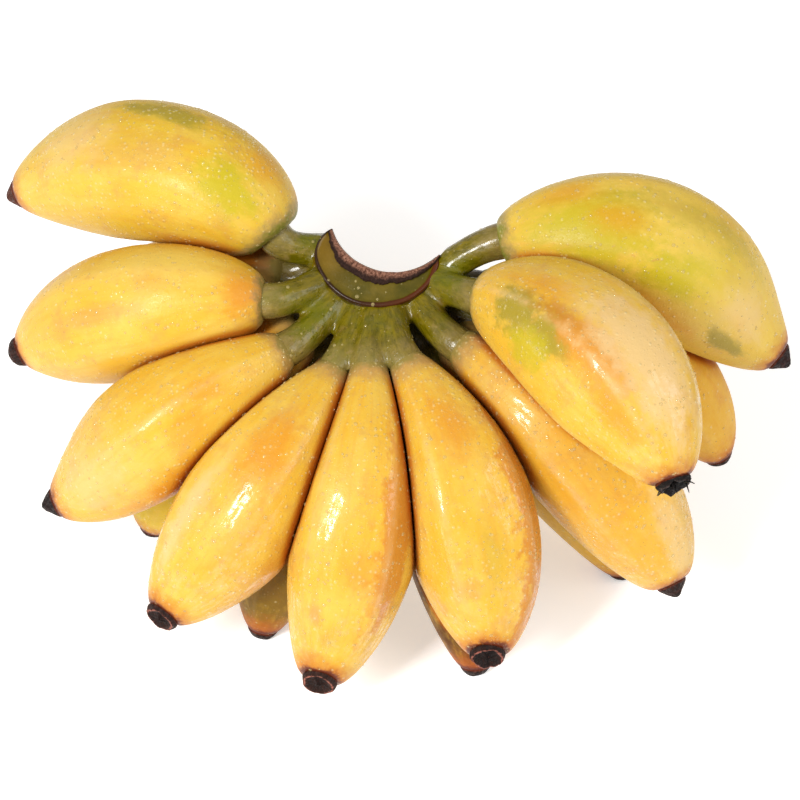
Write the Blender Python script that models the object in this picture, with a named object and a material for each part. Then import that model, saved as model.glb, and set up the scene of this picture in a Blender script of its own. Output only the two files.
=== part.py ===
"""A hand of short, plump bananas: fifteen fruits in two rows on one green crown.

The hand lies with its hollow side down, on the dried flower ends of the lower row.
Each fruit is a bent, five-ridged body, pressed flat where it lies against its neighbours.
Lengths are written in millimetres and measured from the crown's centre:
+X is to the right, -Y to the front, where most of the fruits point, and +Z up.
"""

import math
from collections import namedtuple

import bmesh
import bpy
import numpy as np
from mathutils import Matrix

MM = 0.001

# The fruits: where the neck and the tip lie, how far the middle stands off the line between
# them, how far the end is turned off its way, the width, and how slowly the body fills out
# from the neck and from the tip.
Fruit = namedtuple("Fruit", "name neck tip bulge turn width shoulder bluntness")
FRUITS = [
    Fruit("upper_1", (-35, 6, 2), (-128, 45, -16), (6, 4, 17), (0, -32, 38), 49, 0.4, 0.55),
    Fruit("upper_2", (-38, -19, -3), (-125, -7, -42), (-2, -1, 8), (0, -39, 46), 46, 0.6, 0.57),
    Fruit("upper_3", (-31, -32, -13), (-110, -58, -62), (-3, -6, 7), (-25, -20, 50), 42, 0.8, 0.55),
    Fruit("upper_4", (-14, -38, -16), (-71, -101, -67), (1, -5, 4), (0, -39, 46), 44, 0.95, 0.47),
    Fruit("upper_5", (-3, -39, -13), (-19, -121, -75), (4, -5, 4), (0, -51, 61), 43, 1.05, 0.42),
    Fruit("upper_6", (9, -38, -12), (36, -114, -70), (8, -5, 4), (0, -51, 61), 45, 0.95, 0.43),
    Fruit("upper_7", (27, -31, -12), (99, -84, -73), (8, -4, 8), (0, -32, 38), 44, 0.85, 0.42),
    Fruit("upper_8", (34, -20, 0), (93, -90, -9), (8, 3, 10), (0, 0, 0), 48, 0.55, 0.5),
    Fruit("upper_9", (41, -1, 7), (137, -17, -33), (8, 5, 17), (50, -30, 50), 49, 0.53, 0.5),
    Fruit("lower_1", (-30, 6, -15), (-105, 38, -97), (-9, 4, 9), (0, 0, 0), 38, 0.8, 0.6),
    Fruit("lower_2", (-24, -17, -22), (-81, -41, -97), (-8, -4, 7), (0, 0, 0), 38, 0.8, 0.6),
    Fruit("lower_3", (-10, -26, -27), (-40, -85, -97), (-3, -6, 6), (0, 0, 0), 37, 0.8, 0.6),
    Fruit("lower_4", (9, -27, -27), (33, -100, -97), (4, -7, 7), (0, 0, 0), 38, 0.8, 0.6),
    Fruit("lower_5", (23, -18, -23), (86, -60, -97), (7, -3, 6), (0, 0, 0), 38, 0.8, 0.6),
    Fruit("lower_6", (34, -3, -14), (121, -22, -80), (11, 0, 10), (0, 0, 0), 39, 0.75, 0.6),
]

# The shape that all the fruits share.
SIDES = 15
RIDGES = 5
RIDGE_SHARPNESS = 0.55
STATIONS = (0.0, 0.04, 0.1, 0.18, 0.28, 0.39, 0.5, 0.61, 0.72, 0.81, 0.89, 0.95, 1.0)
WIDEST_AT = 0.56
NECK_RADIUS = 6.0
TIP_RADIUS = 5.6

# The flower ends, and the height of the surface that the lower ones stand on.
FLOWER_END_LENGTH = 4.6
FLOWER_END_SIDES = 10
FLOWER_END_RADII = (5.5, 5.3, 4.1, 1.6)
TABLE = -100.0

# The crown: a crescent cushion with its rim tilted to the front, cut hollow at the back,
# and the stalks that run out of it. The rim curls inward a little at its two ends. The cut is
# a round one, with its middle to the right and behind.
CROWN_TILT = math.radians(22)
CROWN_TURN = math.radians(-8)
RIM_HEIGHT = 3.9
RIM_RADIUS = 22.0
RIM_CURL = 0.09
RIM_HALF_ANGLE = math.radians(96)
RIM_STEPS = 13
CUT_RADIUS = 21.5
CUT_ACROSS = 5.0
CUT_BEHIND = 11.3
CUT_SIDES = 40
CUSHION_INNER_RADIUS = 5.0
# The cushion's cross-section at its thickest: share of the way in from the rim, and height.
CUSHION_SECTION = (
    (0.0, 0.0),
    (0.3, 0.9),
    (1.0, 1.0),
    (1.0, -21.0),
    (0.5, -23.0),
    (0.1, -21.0),
    (-0.1, -15.0),
    (-0.12, -7.0),
    (-0.02, -1.4),
)
STALK_SIDES = 10
STALK_STEPS = 6
STALK_ROOT_RADIUS = 7.5
STALK_WAIST_RADIUS = 5.7
STALK_ROOT_AT = 14.0
UPPER_ROOT_HEIGHT = -10.0
LOWER_ROOT_HEIGHT = -17.0

# Clearances: between the pieces that nearly touch, and at the faces that grow together.
PRESSED_GAP = 1.1
JOINED_GAP = 0.3
AXIS_SAMPLES = 41


def unit(vectors):
    """Each vector at length one."""
    return vectors / np.linalg.norm(vectors, axis=-1, keepdims=True)


def fruit_axis(fruit, t):
    """Points and directions of a fruit's bent middle line, t running from neck to tip."""
    neck, tip, bulge = (np.array(v, float) for v in (fruit.neck, fruit.tip, fruit.bulge))
    control = neck * 0.55 + tip * 0.45 + 2 * bulge
    t = np.asarray(t, float)[..., None]
    turn = np.array(fruit.turn, float)
    points = (1 - t) ** 2 * neck + 2 * t * (1 - t) * control + t**2 * tip - (1 - t) * t**4 * turn
    slope = 2 * (1 - t) * (control - neck) + 2 * t * (tip - control) + (5 * t**4 - 4 * t**3) * turn
    return points, unit(slope)


def fruit_radius(fruit, t):
    """A fruit's radius along its middle line: a slow shoulder, a belly and a blunt tip."""
    t = np.asarray(t, float)
    widest = fruit.width / 2
    near_neck = np.sin(np.pi / 2 * np.clip(t / WIDEST_AT, 0, 1)) ** fruit.shoulder
    near_tip = np.sin(np.pi / 2 * np.clip((1 - t) / (1 - WIDEST_AT), 0, 1)) ** fruit.bluntness
    neck_side = NECK_RADIUS + (widest - NECK_RADIUS) * near_neck
    tip_side = TIP_RADIUS + (widest - TIP_RADIUS) * near_tip
    return np.where(t < WIDEST_AT, neck_side, tip_side)


def ridge_factor(angle, t):
    """How far the skin stands out at this angle: five flat sides, round at both ends."""
    wedge = 2 * np.pi / RIDGES
    flat = np.cos(wedge / 2) / np.cos(np.mod(angle, wedge) - wedge / 2)
    strength = RIDGE_SHARPNESS * np.sin(np.pi * np.clip(t, 0, 1)) ** 0.5
    return 1 + strength * (flat - (1 + np.cos(wedge / 2)) / 2)


def cross_frame(directions, upward):
    """The two directions across each point of a line, the first as near upward as can be."""
    up = unit(upward - (directions @ upward)[..., None] * directions)
    return up, np.cross(directions, up)


def rings_round(points, directions, upward, radii, sides):
    """One ring of points round each point of a line; radii is a number or row for each."""
    up, side = cross_frame(directions, np.array(upward, float))
    angle = 2 * np.pi * np.arange(sides) / sides
    across = np.cos(angle)[None, :, None] * up[:, None] + np.sin(angle)[None, :, None] * side[:, None]
    radii = np.reshape(radii, (len(points), -1, 1))
    return points[:, None] + radii * across


def distance_to(line, radii, places):
    """How far each place is outside the body of these radii along this line."""
    gaps = np.linalg.norm(places[..., None, :] - line, axis=-1) - radii
    return gaps.min(axis=-1)


def pressed(rings, middle, own, others, gap):
    """Pulls each point towards its ring's middle until it is nearer its own body than any other."""
    inner, outer = np.zeros(rings.shape[:2]), np.ones(rings.shape[:2])

    def clear(share):
        places = middle[:, None] + share[..., None] * (rings - middle[:, None])
        own_distance = distance_to(*own, places)
        room = np.full(share.shape, np.inf)
        for other in others:
            room = np.minimum(room, distance_to(*other, places) - own_distance)
        return room >= gap

    free = clear(outer)
    for _ in range(14):
        half = (inner + outer) / 2
        good = clear(half)
        inner, outer = np.where(good, half, inner), np.where(good, outer, half)
    share = np.where(free, 1.0, inner)
    return middle[:, None] + share[..., None] * (rings - middle[:, None])


def crown_place(azimuth, radius, height):
    """A point of the tilted crown, in the hand's frame; height is measured from the rim."""
    x, y = radius * np.sin(azimuth + CROWN_TURN), -radius * np.cos(azimuth + CROWN_TURN)
    return np.array(
        [
            x,
            y * math.cos(CROWN_TILT) - height * math.sin(CROWN_TILT),
            y * math.sin(CROWN_TILT) + height * math.cos(CROWN_TILT) + RIM_HEIGHT,
        ]
    )


def stalk_axis(fruit, t):
    """Points and directions of a stalk, from inside the crown to just short of the neck."""
    neck, direction = (part[0] for part in fruit_axis(fruit, [0.0]))
    end = neck - JOINED_GAP * direction
    azimuth = math.atan2(neck[0], -neck[1]) - CROWN_TURN
    height = UPPER_ROOT_HEIGHT if fruit.name.startswith("upper") else LOWER_ROOT_HEIGHT
    most = RIM_HALF_ANGLE - 0.15
    root = crown_place(np.clip(azimuth, -most, most), STALK_ROOT_AT, height)
    reach = np.linalg.norm(end - root) / 3
    outward = unit(end - root)
    first, second = root + reach * outward, end - reach * direction
    t = np.asarray(t, float)[..., None]
    points = (
        (1 - t) ** 3 * root + 3 * t * (1 - t) ** 2 * first + 3 * t**2 * (1 - t) * second + t**3 * end
    )
    slope = (1 - t) ** 2 * (first - root) + 2 * t * (1 - t) * (second - first) + t**2 * (end - second)
    return points, unit(slope)


def stalk_radius(t):
    """A stalk's radius: thick at the crown, thinner in the middle and as thick as the neck at its end."""
    t = np.asarray(t, float)
    waist = STALK_WAIST_RADIUS + (STALK_ROOT_RADIUS - STALK_WAIST_RADIUS) * (1 - t) ** 2
    return waist + (NECK_RADIUS - STALK_WAIST_RADIUS) * t**3


def bodies_as_spheres():
    """Each fruit and each stalk as a line of points with radii, which the pressing measures to."""
    t = np.linspace(0, 1, AXIS_SAMPLES)
    bodies = [(fruit_axis(fruit, t)[0], fruit_radius(fruit, t)) for fruit in FRUITS]
    stalks = [(stalk_axis(fruit, t)[0], stalk_radius(t)) for fruit in FRUITS]
    return bodies, stalks


def fruit_rings(index, bodies, stalks):
    """The rings of one fruit's skin, pressed against every other fruit and stalk."""
    fruit = FRUITS[index]
    t = np.array(STATIONS)
    points, directions = fruit_axis(fruit, t)
    angle = 2 * np.pi * np.arange(SIDES) / SIDES
    radii = fruit_radius(fruit, t)[:, None] * ridge_factor(angle[None, :], t[:, None])
    rings = rings_round(points, directions, fruit.bulge, radii, SIDES)
    others = [body for i, body in enumerate(bodies + stalks) if i % len(FRUITS) != index]
    return pressed(rings, points, bodies[index], others, PRESSED_GAP)


def stalk_rings(index, bodies, stalks):
    """The rings of one stalk, pressed against the fruits beside it."""
    fruit = FRUITS[index]
    t = np.linspace(0, 1, STALK_STEPS)
    points, directions = stalk_axis(fruit, t)
    rings = rings_round(points, directions, fruit.bulge, stalk_radius(t), STALK_SIDES)
    others = [body for i, body in enumerate(bodies) if i != index]
    return pressed(rings, points, stalks[index], others, PRESSED_GAP)


def flower_end_rings(fruit):
    """The rings of the dried flower end that follows a fruit's tip."""
    tip, direction = (part[0] for part in fruit_axis(fruit, [1.0]))
    along = JOINED_GAP + np.linspace(0, FLOWER_END_LENGTH, len(FLOWER_END_RADII))
    points = tip + along[:, None] * direction
    directions = np.repeat(direction[None], len(points), axis=0)
    return rings_round(points, directions, fruit.bulge, FLOWER_END_RADII, FLOWER_END_SIDES)


def cushion_rings():
    """The cross-sections of the crown's cushion, lower towards the crescent's two ends."""
    rings = []
    for share in np.linspace(-1, 1, RIM_STEPS):
        depth = 0.4 + 0.6 * math.sqrt(1 - abs(share) ** 3)
        radius = RIM_RADIUS * (1 - RIM_CURL * share**8)
        ring = [
            crown_place(
                share * RIM_HALF_ANGLE,
                radius + (CUSHION_INNER_RADIUS - radius) * inward,
                height * depth,
            )
            for inward, height in CUSHION_SECTION
        ]
        rings.append(ring)
    return np.array(rings)


def lofted(name, rings):
    """A closed body through the rings, made by extruding its first face from ring to ring."""
    bm = bmesh.new()
    bmesh.ops.create_circle(bm, cap_ends=True, segments=rings.shape[1], radius=1.0)
    slot = bm.verts.layers.int.new("slot")
    bm.faces.ensure_lookup_table()
    face = bm.faces[0]
    for i, vert in enumerate(face.verts):
        vert[slot] = i
    for number, ring in enumerate(rings * MM):
        if number:
            made = bmesh.ops.extrude_face_region(bm, geom=[face])["geom"]
            if number > 1:
                bmesh.ops.delete(bm, geom=[face], context="FACES_ONLY")
            face = next(part for part in made if isinstance(part, bmesh.types.BMFace))
        for vert in face.verts:
            vert.co = ring[vert[slot]]
    bmesh.ops.recalc_face_normals(bm, faces=bm.faces)
    bmesh.ops.triangulate(bm, faces=[f for f in bm.faces if len(f.verts) == 4])
    return new_object(name, bm)


def new_object(name, bm):
    """A named object that holds this mesh."""
    mesh = bpy.data.meshes.new(name)
    bm.to_mesh(mesh)
    bm.free()
    obj = bpy.data.objects.new(name, mesh)
    bpy.context.scene.collection.objects.link(obj)
    return obj


def cut_at_table(obj):
    """Cuts what reaches below the table off an object, and closes it with a flat face."""
    bm = bmesh.new()
    bm.from_mesh(obj.data)
    everything = bm.verts[:] + bm.edges[:] + bm.faces[:]
    cut = bmesh.ops.bisect_plane(
        bm, geom=everything, plane_co=(0, 0, TABLE * MM), plane_no=(0, 0, 1), clear_inner=True
    )
    edges = [part for part in cut["geom_cut"] if isinstance(part, bmesh.types.BMEdge)]
    if edges:
        bmesh.ops.holes_fill(bm, edges=edges, sides=0)
        bmesh.ops.recalc_face_normals(bm, faces=bm.faces)
    bm.to_mesh(obj.data)
    bm.free()


def applied(obj, modifier):
    """Applies an object's only modifier."""
    depsgraph = bpy.context.evaluated_depsgraph_get()
    obj.data = bpy.data.meshes.new_from_object(obj.evaluated_get(depsgraph))
    obj.modifiers.remove(modifier)


def united(name, body, others):
    """One body from a cushion and all the stalks, which are then removed."""
    collection = bpy.data.collections.new(name + "_stalks")
    bpy.context.scene.collection.children.link(collection)
    for other in others:
        bpy.context.scene.collection.objects.unlink(other)
        collection.objects.link(other)
    union = body.modifiers.new("union", "BOOLEAN")
    union.operation = "UNION"
    union.solver = "EXACT"
    union.operand_type = "COLLECTION"
    union.collection = collection
    applied(body, union)
    body.name = name
    for other in others:
        bpy.data.objects.remove(other)
    bpy.data.collections.remove(collection)
    return body


def cut_hollow(crown):
    """Cuts the crown's round hollow, where it was cut from the plant's stem."""
    bm = bmesh.new()
    bmesh.ops.create_cone(
        bm, cap_ends=True, segments=CUT_SIDES, radius1=CUT_RADIUS, radius2=CUT_RADIUS, depth=90.0
    )
    azimuth = math.atan2(CUT_ACROSS, -CUT_BEHIND) - CROWN_TURN
    middle = crown_place(azimuth, math.hypot(CUT_ACROSS, CUT_BEHIND), 0.0)
    place = Matrix.Translation(middle) @ Matrix.Rotation(CROWN_TILT, 4, "X")
    bmesh.ops.transform(bm, matrix=Matrix.Scale(MM, 4) @ place, verts=bm.verts)
    cutter = new_object("cutter", bm)
    cut = crown.modifiers.new("cut", "BOOLEAN")
    cut.operation = "DIFFERENCE"
    cut.solver = "EXACT"
    cut.object = cutter
    applied(crown, cut)
    bpy.data.objects.remove(cutter)


def paint(obj, name, colour, roughness):
    """Gives an object its material."""
    material = bpy.data.materials.get(name) or bpy.data.materials.new(name)
    material.use_nodes = True
    shader = material.node_tree.nodes["Principled BSDF"]
    shader.inputs["Base Color"].default_value = (*colour, 1)
    shader.inputs["Roughness"].default_value = roughness
    shader.inputs["Metallic"].default_value = 0.0
    obj.data.materials.clear()
    obj.data.materials.append(material)
    obj.data.shade_smooth()
    obj.data.set_sharp_from_angle(angle=math.radians(40))


def stand_on_origin(objects):
    """Moves the hand so that the middle of its box's underside is the origin."""
    corners = np.array([v.co for obj in objects for v in obj.data.vertices])
    low, high = corners.min(axis=0), corners.max(axis=0)
    shift = (-(low[0] + high[0]) / 2, -(low[1] + high[1]) / 2, -TABLE * MM)
    for obj in objects:
        obj.data.transform(Matrix.Translation(shift))


for old in list(bpy.data.objects):
    bpy.data.objects.remove(old)

bodies, stalks = bodies_as_spheres()
hand = []
stalk_objects = []
for index, fruit in enumerate(FRUITS):
    banana = lofted("banana_" + fruit.name, fruit_rings(index, bodies, stalks))
    paint(banana, "skin_" + fruit.name, (0.87, 0.55, 0.09), 0.45)
    flower_end = lofted("flower_end_" + fruit.name, flower_end_rings(fruit))
    cut_at_table(flower_end)
    paint(flower_end, "flower_end_" + fruit.name, (0.06, 0.025, 0.015), 0.85)
    hand += [banana, flower_end]
    stalk_objects.append(lofted("stalk_" + fruit.name, stalk_rings(index, bodies, stalks)))

crown = united("crown", lofted("cushion", cushion_rings()), stalk_objects)
cut_hollow(crown)
paint(crown, "crown", (0.24, 0.27, 0.05), 0.5)
hand.append(crown)
stand_on_origin(hand)
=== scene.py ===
"""A hand of short bananas, wet with dew, lying hollow side down and seen from the front and above."""

import math
from collections import namedtuple

import bmesh
import bpy
import numpy as np
from mathutils import Matrix, Vector, noise


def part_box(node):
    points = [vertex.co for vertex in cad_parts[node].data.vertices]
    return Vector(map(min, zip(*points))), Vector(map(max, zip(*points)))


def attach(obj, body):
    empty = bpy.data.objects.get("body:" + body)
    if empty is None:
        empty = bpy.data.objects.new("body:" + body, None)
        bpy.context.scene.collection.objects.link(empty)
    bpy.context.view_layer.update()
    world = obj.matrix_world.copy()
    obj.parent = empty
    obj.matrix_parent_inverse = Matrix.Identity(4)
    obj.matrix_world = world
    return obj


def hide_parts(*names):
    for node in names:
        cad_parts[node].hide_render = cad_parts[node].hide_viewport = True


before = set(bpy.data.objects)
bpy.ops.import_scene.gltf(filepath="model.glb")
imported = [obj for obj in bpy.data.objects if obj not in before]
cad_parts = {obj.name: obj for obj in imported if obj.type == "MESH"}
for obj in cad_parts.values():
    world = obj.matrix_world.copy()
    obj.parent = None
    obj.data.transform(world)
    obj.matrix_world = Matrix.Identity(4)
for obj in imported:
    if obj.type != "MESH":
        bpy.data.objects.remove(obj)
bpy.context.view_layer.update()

# The fruits. Each is a bent body of soft flesh in one thick skin with five blunt ridges. Fifteen
# of them grew in two rows round the crown, and where one lay against its neighbours it is flat.

MM = 0.001
Fruit = namedtuple("Fruit", "name neck tip bulge turn width shoulder bluntness")
# Where the neck and the tip lie from the crown's centre, how far the middle stands off the line
# between them, how far the end is turned off its way, the width, and how slowly the body fills
# out from the neck and from the tip. The first nine are the upper row.
FRUITS = [
    Fruit("upper_1", (-35, 6, 2), (-128, 45, -16), (6, 4, 17), (0, -32, 38), 49, 0.4, 0.55),
    Fruit("upper_2", (-38, -19, -3), (-125, -7, -42), (-2, -1, 8), (0, -39, 46), 46, 0.6, 0.57),
    Fruit("upper_3", (-31, -32, -13), (-110, -58, -62), (-3, -6, 7), (-25, -20, 50), 42, 0.8, 0.55),
    Fruit("upper_4", (-14, -38, -16), (-71, -101, -67), (1, -5, 4), (0, -39, 46), 44, 0.95, 0.47),
    Fruit("upper_5", (-3, -39, -13), (-19, -121, -75), (4, -5, 4), (0, -51, 61), 43, 1.05, 0.42),
    Fruit("upper_6", (9, -38, -12), (36, -114, -70), (8, -5, 4), (0, -51, 61), 45, 0.95, 0.43),
    Fruit("upper_7", (27, -31, -12), (99, -84, -73), (8, -4, 8), (0, -32, 38), 44, 0.85, 0.42),
    Fruit("upper_8", (34, -20, 0), (93, -90, -9), (8, 3, 10), (0, 0, 0), 48, 0.55, 0.5),
    Fruit("upper_9", (41, -1, 7), (137, -17, -33), (8, 5, 17), (50, -30, 50), 49, 0.62, 0.5),
    Fruit("lower_1", (-30, 6, -15), (-105, 38, -97), (-9, 4, 9), (0, 0, 0), 38, 0.4, 0.6),
    Fruit("lower_2", (-24, -17, -22), (-81, -41, -97), (-8, -4, 7), (0, 0, 0), 38, 0.4, 0.6),
    Fruit("lower_3", (-10, -26, -27), (-40, -85, -97), (-3, -6, 6), (0, 0, 0), 37, 0.4, 0.6),
    Fruit("lower_4", (9, -27, -27), (33, -100, -97), (4, -7, 7), (0, 0, 0), 38, 0.4, 0.6),
    Fruit("lower_5", (23, -18, -23), (86, -60, -97), (7, -3, 6), (0, 0, 0), 38, 0.4, 0.6),
    Fruit("lower_6", (34, -3, -14), (121, -22, -80), (11, 0, 10), (0, 0, 0), 39, 0.75, 0.6),
]
UPPER_COUNT = 9
RIDGES = 5
WEDGE = 2 * math.pi / RIDGES
RIDGE_SHARPNESS = 0.55
WIDEST_AT = 0.56
NECK_RADIUS = 6.0
TIP_RADIUS = 5.6
FRUIT_SIDES = 60
FRUIT_STATIONS = 84
# How much slimmer the skins run in to their tips than the solids.
TIP_SLIMNESS = 0.18
# How far the skins stay apart where they lie together, and where a fruit grows out of its stalk.
PRESSED_GAP = 0.5
JOINED_GAP = 0.3
# The pressing looks at bodies this near, halves its search this often and eases an edge this often.
NEIGHBOUR_REACH = 6.0
HALVINGS = 11
EASINGS = 2
FAR_AWAY = 50.0
AXIS_SAMPLES = 41
# How broad the worn ridges are, in turn, and how round: 0 is the full ridge and 1 is none.
RIDGE_BREADTH = (0.1, 0.075, 0.09)
RIDGE_SOFTNESS = {"upper_1": 0.6, "upper_2": 0.5, "upper_3": 0.4, "upper_9": 0.5, "upper_6": -0.15}
USUAL_SOFTNESS = 0.15
# How far the ridges sway, and how high and how wide the swellings of a skin are.
RIDGE_SWAY = 0.07
SWELLINGS = ((0.014, 22), (0.005, 7))
# Rings lie closer together at both ends of a fruit.
END_CROWDING = 0.65
# How near another skin darkens a skin with painted shade and bruising, from where its end counts, and
# its mark elsewhere.
CONTACT_REACH = 3.0
END_FROM = 0.75
OFF_THE_END = 30.0
# Where the skin starts inside the stalk: millimetres back from the neck, and the share of its size.
SKIN_START = ((3.0, 0.5), (2.0, 0.68), (1.0, 0.82), (0.3, 0.9))


def unit(vectors):
    """Each vector at length one."""
    return vectors / np.linalg.norm(vectors, axis=-1, keepdims=True)


def fruit_axis(fruit, t):
    """Points and directions of a fruit's bent middle line, t running from neck to tip."""
    neck, tip, bulge = (np.array(v, float) for v in (fruit.neck, fruit.tip, fruit.bulge))
    control = neck * 0.55 + tip * 0.45 + 2 * bulge
    t = np.asarray(t, float)[..., None]
    turn = np.array(fruit.turn, float)
    points = (1 - t) ** 2 * neck + 2 * t * (1 - t) * control + t**2 * tip - (1 - t) * t**4 * turn
    slope = 2 * (1 - t) * (control - neck) + 2 * t * (tip - control) + (5 * t**4 - 4 * t**3) * turn
    return points, unit(slope)


def fruit_radius(fruit, t):
    """A fruit's radius along its middle line: a slow shoulder, a belly and a blunt tip."""
    t = np.asarray(t, float)
    widest = fruit.width / 2
    near_neck = np.sin(np.pi / 2 * np.clip(t / WIDEST_AT, 0, 1)) ** fruit.shoulder
    to_tip = np.clip((1 - t) / (1 - WIDEST_AT), 0, 1)
    near_tip = np.sin(np.pi / 2 * to_tip) ** (fruit.bluntness + TIP_SLIMNESS)
    neck_side = NECK_RADIUS + (widest - NECK_RADIUS) * near_neck
    tip_side = TIP_RADIUS + (widest - TIP_RADIUS) * near_tip
    return np.where(t < WIDEST_AT, neck_side, tip_side)


def ridge_factor(angle, t):
    """How far the skin stands out at this angle: five flat sides, round at both ends."""
    flat = np.cos(WEDGE / 2) / np.cos(np.mod(angle, WEDGE) - WEDGE / 2)
    strength = RIDGE_SHARPNESS * np.sin(np.pi * np.clip(t, 0, 1)) ** 0.5
    return 1 + strength * (flat - (1 + np.cos(WEDGE / 2)) / 2)


def rings_round(points, directions, upward, radii, sides):
    """One ring of points round each point of a line; radii is a number or row for each."""
    upward = np.array(upward, float)
    up = unit(upward - (directions @ upward)[..., None] * directions)
    side = np.cross(directions, up)
    angle = 2 * np.pi * np.arange(sides) / sides
    across = np.cos(angle)[None, :, None] * up[:, None] + np.sin(angle)[None, :, None] * side[:, None]
    return points[:, None] + np.reshape(radii, (len(points), -1, 1)) * across


def distance_to(line, radii, places):
    """How far each place is outside the body of these radii along this line."""
    squares = (places**2).sum(axis=-1)[..., None] + (line**2).sum(axis=-1) - 2 * places @ line.T
    return (np.sqrt(np.maximum(squares, 0)) - radii).min(axis=-1)


def pressed(rings, middle, own, others, gap):
    """Pulls each point in until it is nearer its own body than any other, and tells its room there."""
    inner, outer = np.zeros(rings.shape[:2]), np.ones(rings.shape[:2])
    near = [o for o in others if distance_to(*o, rings).min() < NEIGHBOUR_REACH]

    def clear(share):
        places = middle[:, None] + share[..., None] * (rings - middle[:, None])
        own_distance = distance_to(*own, places)
        room = np.full(share.shape, np.inf)
        for other in near:
            room = np.minimum(room, distance_to(*other, places) - own_distance)
        return room >= gap

    free = clear(outer)
    for _ in range(HALVINGS):
        half = (inner + outer) / 2
        good = clear(half)
        inner = np.where(good, half, inner)
        outer = np.where(good, outer, half)
    share = np.where(free, 1.0, inner)
    # The edge of a flat place is eased over the points beside it.
    eased = share.copy()
    for _ in range(EASINGS):
        padded = np.pad(eased, ((1, 1), (0, 0)), mode="edge")
        across = (np.roll(eased, 1, axis=1) + np.roll(eased, -1, axis=1)) / 4 + eased / 2
        along = (padded[2:] + padded[:-2]) / 4 + eased / 2
        eased = np.minimum(share, (across + along) / 2)
    places = middle[:, None] + eased[..., None] * (rings - middle[:, None])
    room = np.full(share.shape, FAR_AWAY)
    for other in near:
        room = np.minimum(room, distance_to(*other, places))
    return places, room


def new_object(name, bm):
    """A named, smooth object that holds this mesh."""
    mesh = bpy.data.meshes.new(name)
    bm.to_mesh(mesh)
    bm.free()
    mesh.shade_smooth()
    obj = bpy.data.objects.new(name, mesh)
    bpy.context.scene.collection.objects.link(obj)
    return obj


def set_attribute(obj, key, values):
    """Stores a number or a vector for each point of an object's mesh."""
    kind, field = ("FLOAT_VECTOR", "vector") if values.ndim == 2 else ("FLOAT", "value")
    attribute = obj.data.attributes.new(key, kind, "POINT")
    attribute.data.foreach_set(field, values.astype(np.float32).ravel())


def lofted(name, rings, **values):
    """A closed body: a disc is extruded ring by ring, and the rings are laid on these places."""
    bm = bmesh.new()
    bmesh.ops.create_circle(bm, cap_ends=True, segments=rings.shape[1], radius=1.0)
    ring_of = bm.verts.layers.int.new("ring")
    slot_of = bm.verts.layers.int.new("slot")
    bm.faces.ensure_lookup_table()
    face = bm.faces[0]
    for slot, vert in enumerate(face.verts):
        vert[slot_of] = slot
    for ring in range(1, len(rings)):
        made = bmesh.ops.extrude_face_region(bm, geom=[face])["geom"]
        if ring > 1:
            bmesh.ops.delete(bm, geom=[face], context="FACES_ONLY")
        face = next(part for part in made if isinstance(part, bmesh.types.BMFace))
        for vert in face.verts:
            vert[ring_of] = ring
    for vert in bm.verts:
        vert.co = rings[vert[ring_of], vert[slot_of]] * MM + crown_centre
    bmesh.ops.recalc_face_normals(bm, faces=bm.faces)
    index = np.array([(vert[ring_of], vert[slot_of]) for vert in bm.verts])
    obj = new_object(name, bm)
    for key, value in values.items():
        set_attribute(obj, key, value[index[:, 0], index[:, 1]])
    return obj


def lumps(places, scale, seed):
    """Smooth noise from -1 to 1 at each place, with bumps about this many millimetres apart."""
    flat = places.reshape(-1, 3) / scale + seed * 7.3
    return np.array([noise.noise(Vector(p)) for p in flat]).reshape(places.shape[:-1])


# The dried flower end of the middle fruit isn't cut, so its box tells where the crown's centre is.
FLOWER_END_SIDES = 10
FLOWER_END_LENGTH = 4.6
FLOWER_END_RADII = (5.5, 5.3, 4.1, 1.6)


def flower_end_line(fruit, along):
    """Points and directions down a flower end, this far in millimetres from the fruit's tip."""
    tip, direction = (part[0] for part in fruit_axis(fruit, [1.0]))
    points = tip + (JOINED_GAP + np.asarray(along, float))[:, None] * direction
    return points, np.repeat(direction[None], len(points), axis=0)


middle_fruit = FRUITS[4]
packed_rings = rings_round(
    *flower_end_line(middle_fruit, np.linspace(0, FLOWER_END_LENGTH, len(FLOWER_END_RADII))),
    middle_fruit.bulge,
    FLOWER_END_RADII,
    FLOWER_END_SIDES,
)
packed_corner = Vector(packed_rings.reshape(-1, 3).min(axis=0) * MM)
crown_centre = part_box("flower_end_upper_5")[0] - packed_corner


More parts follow.
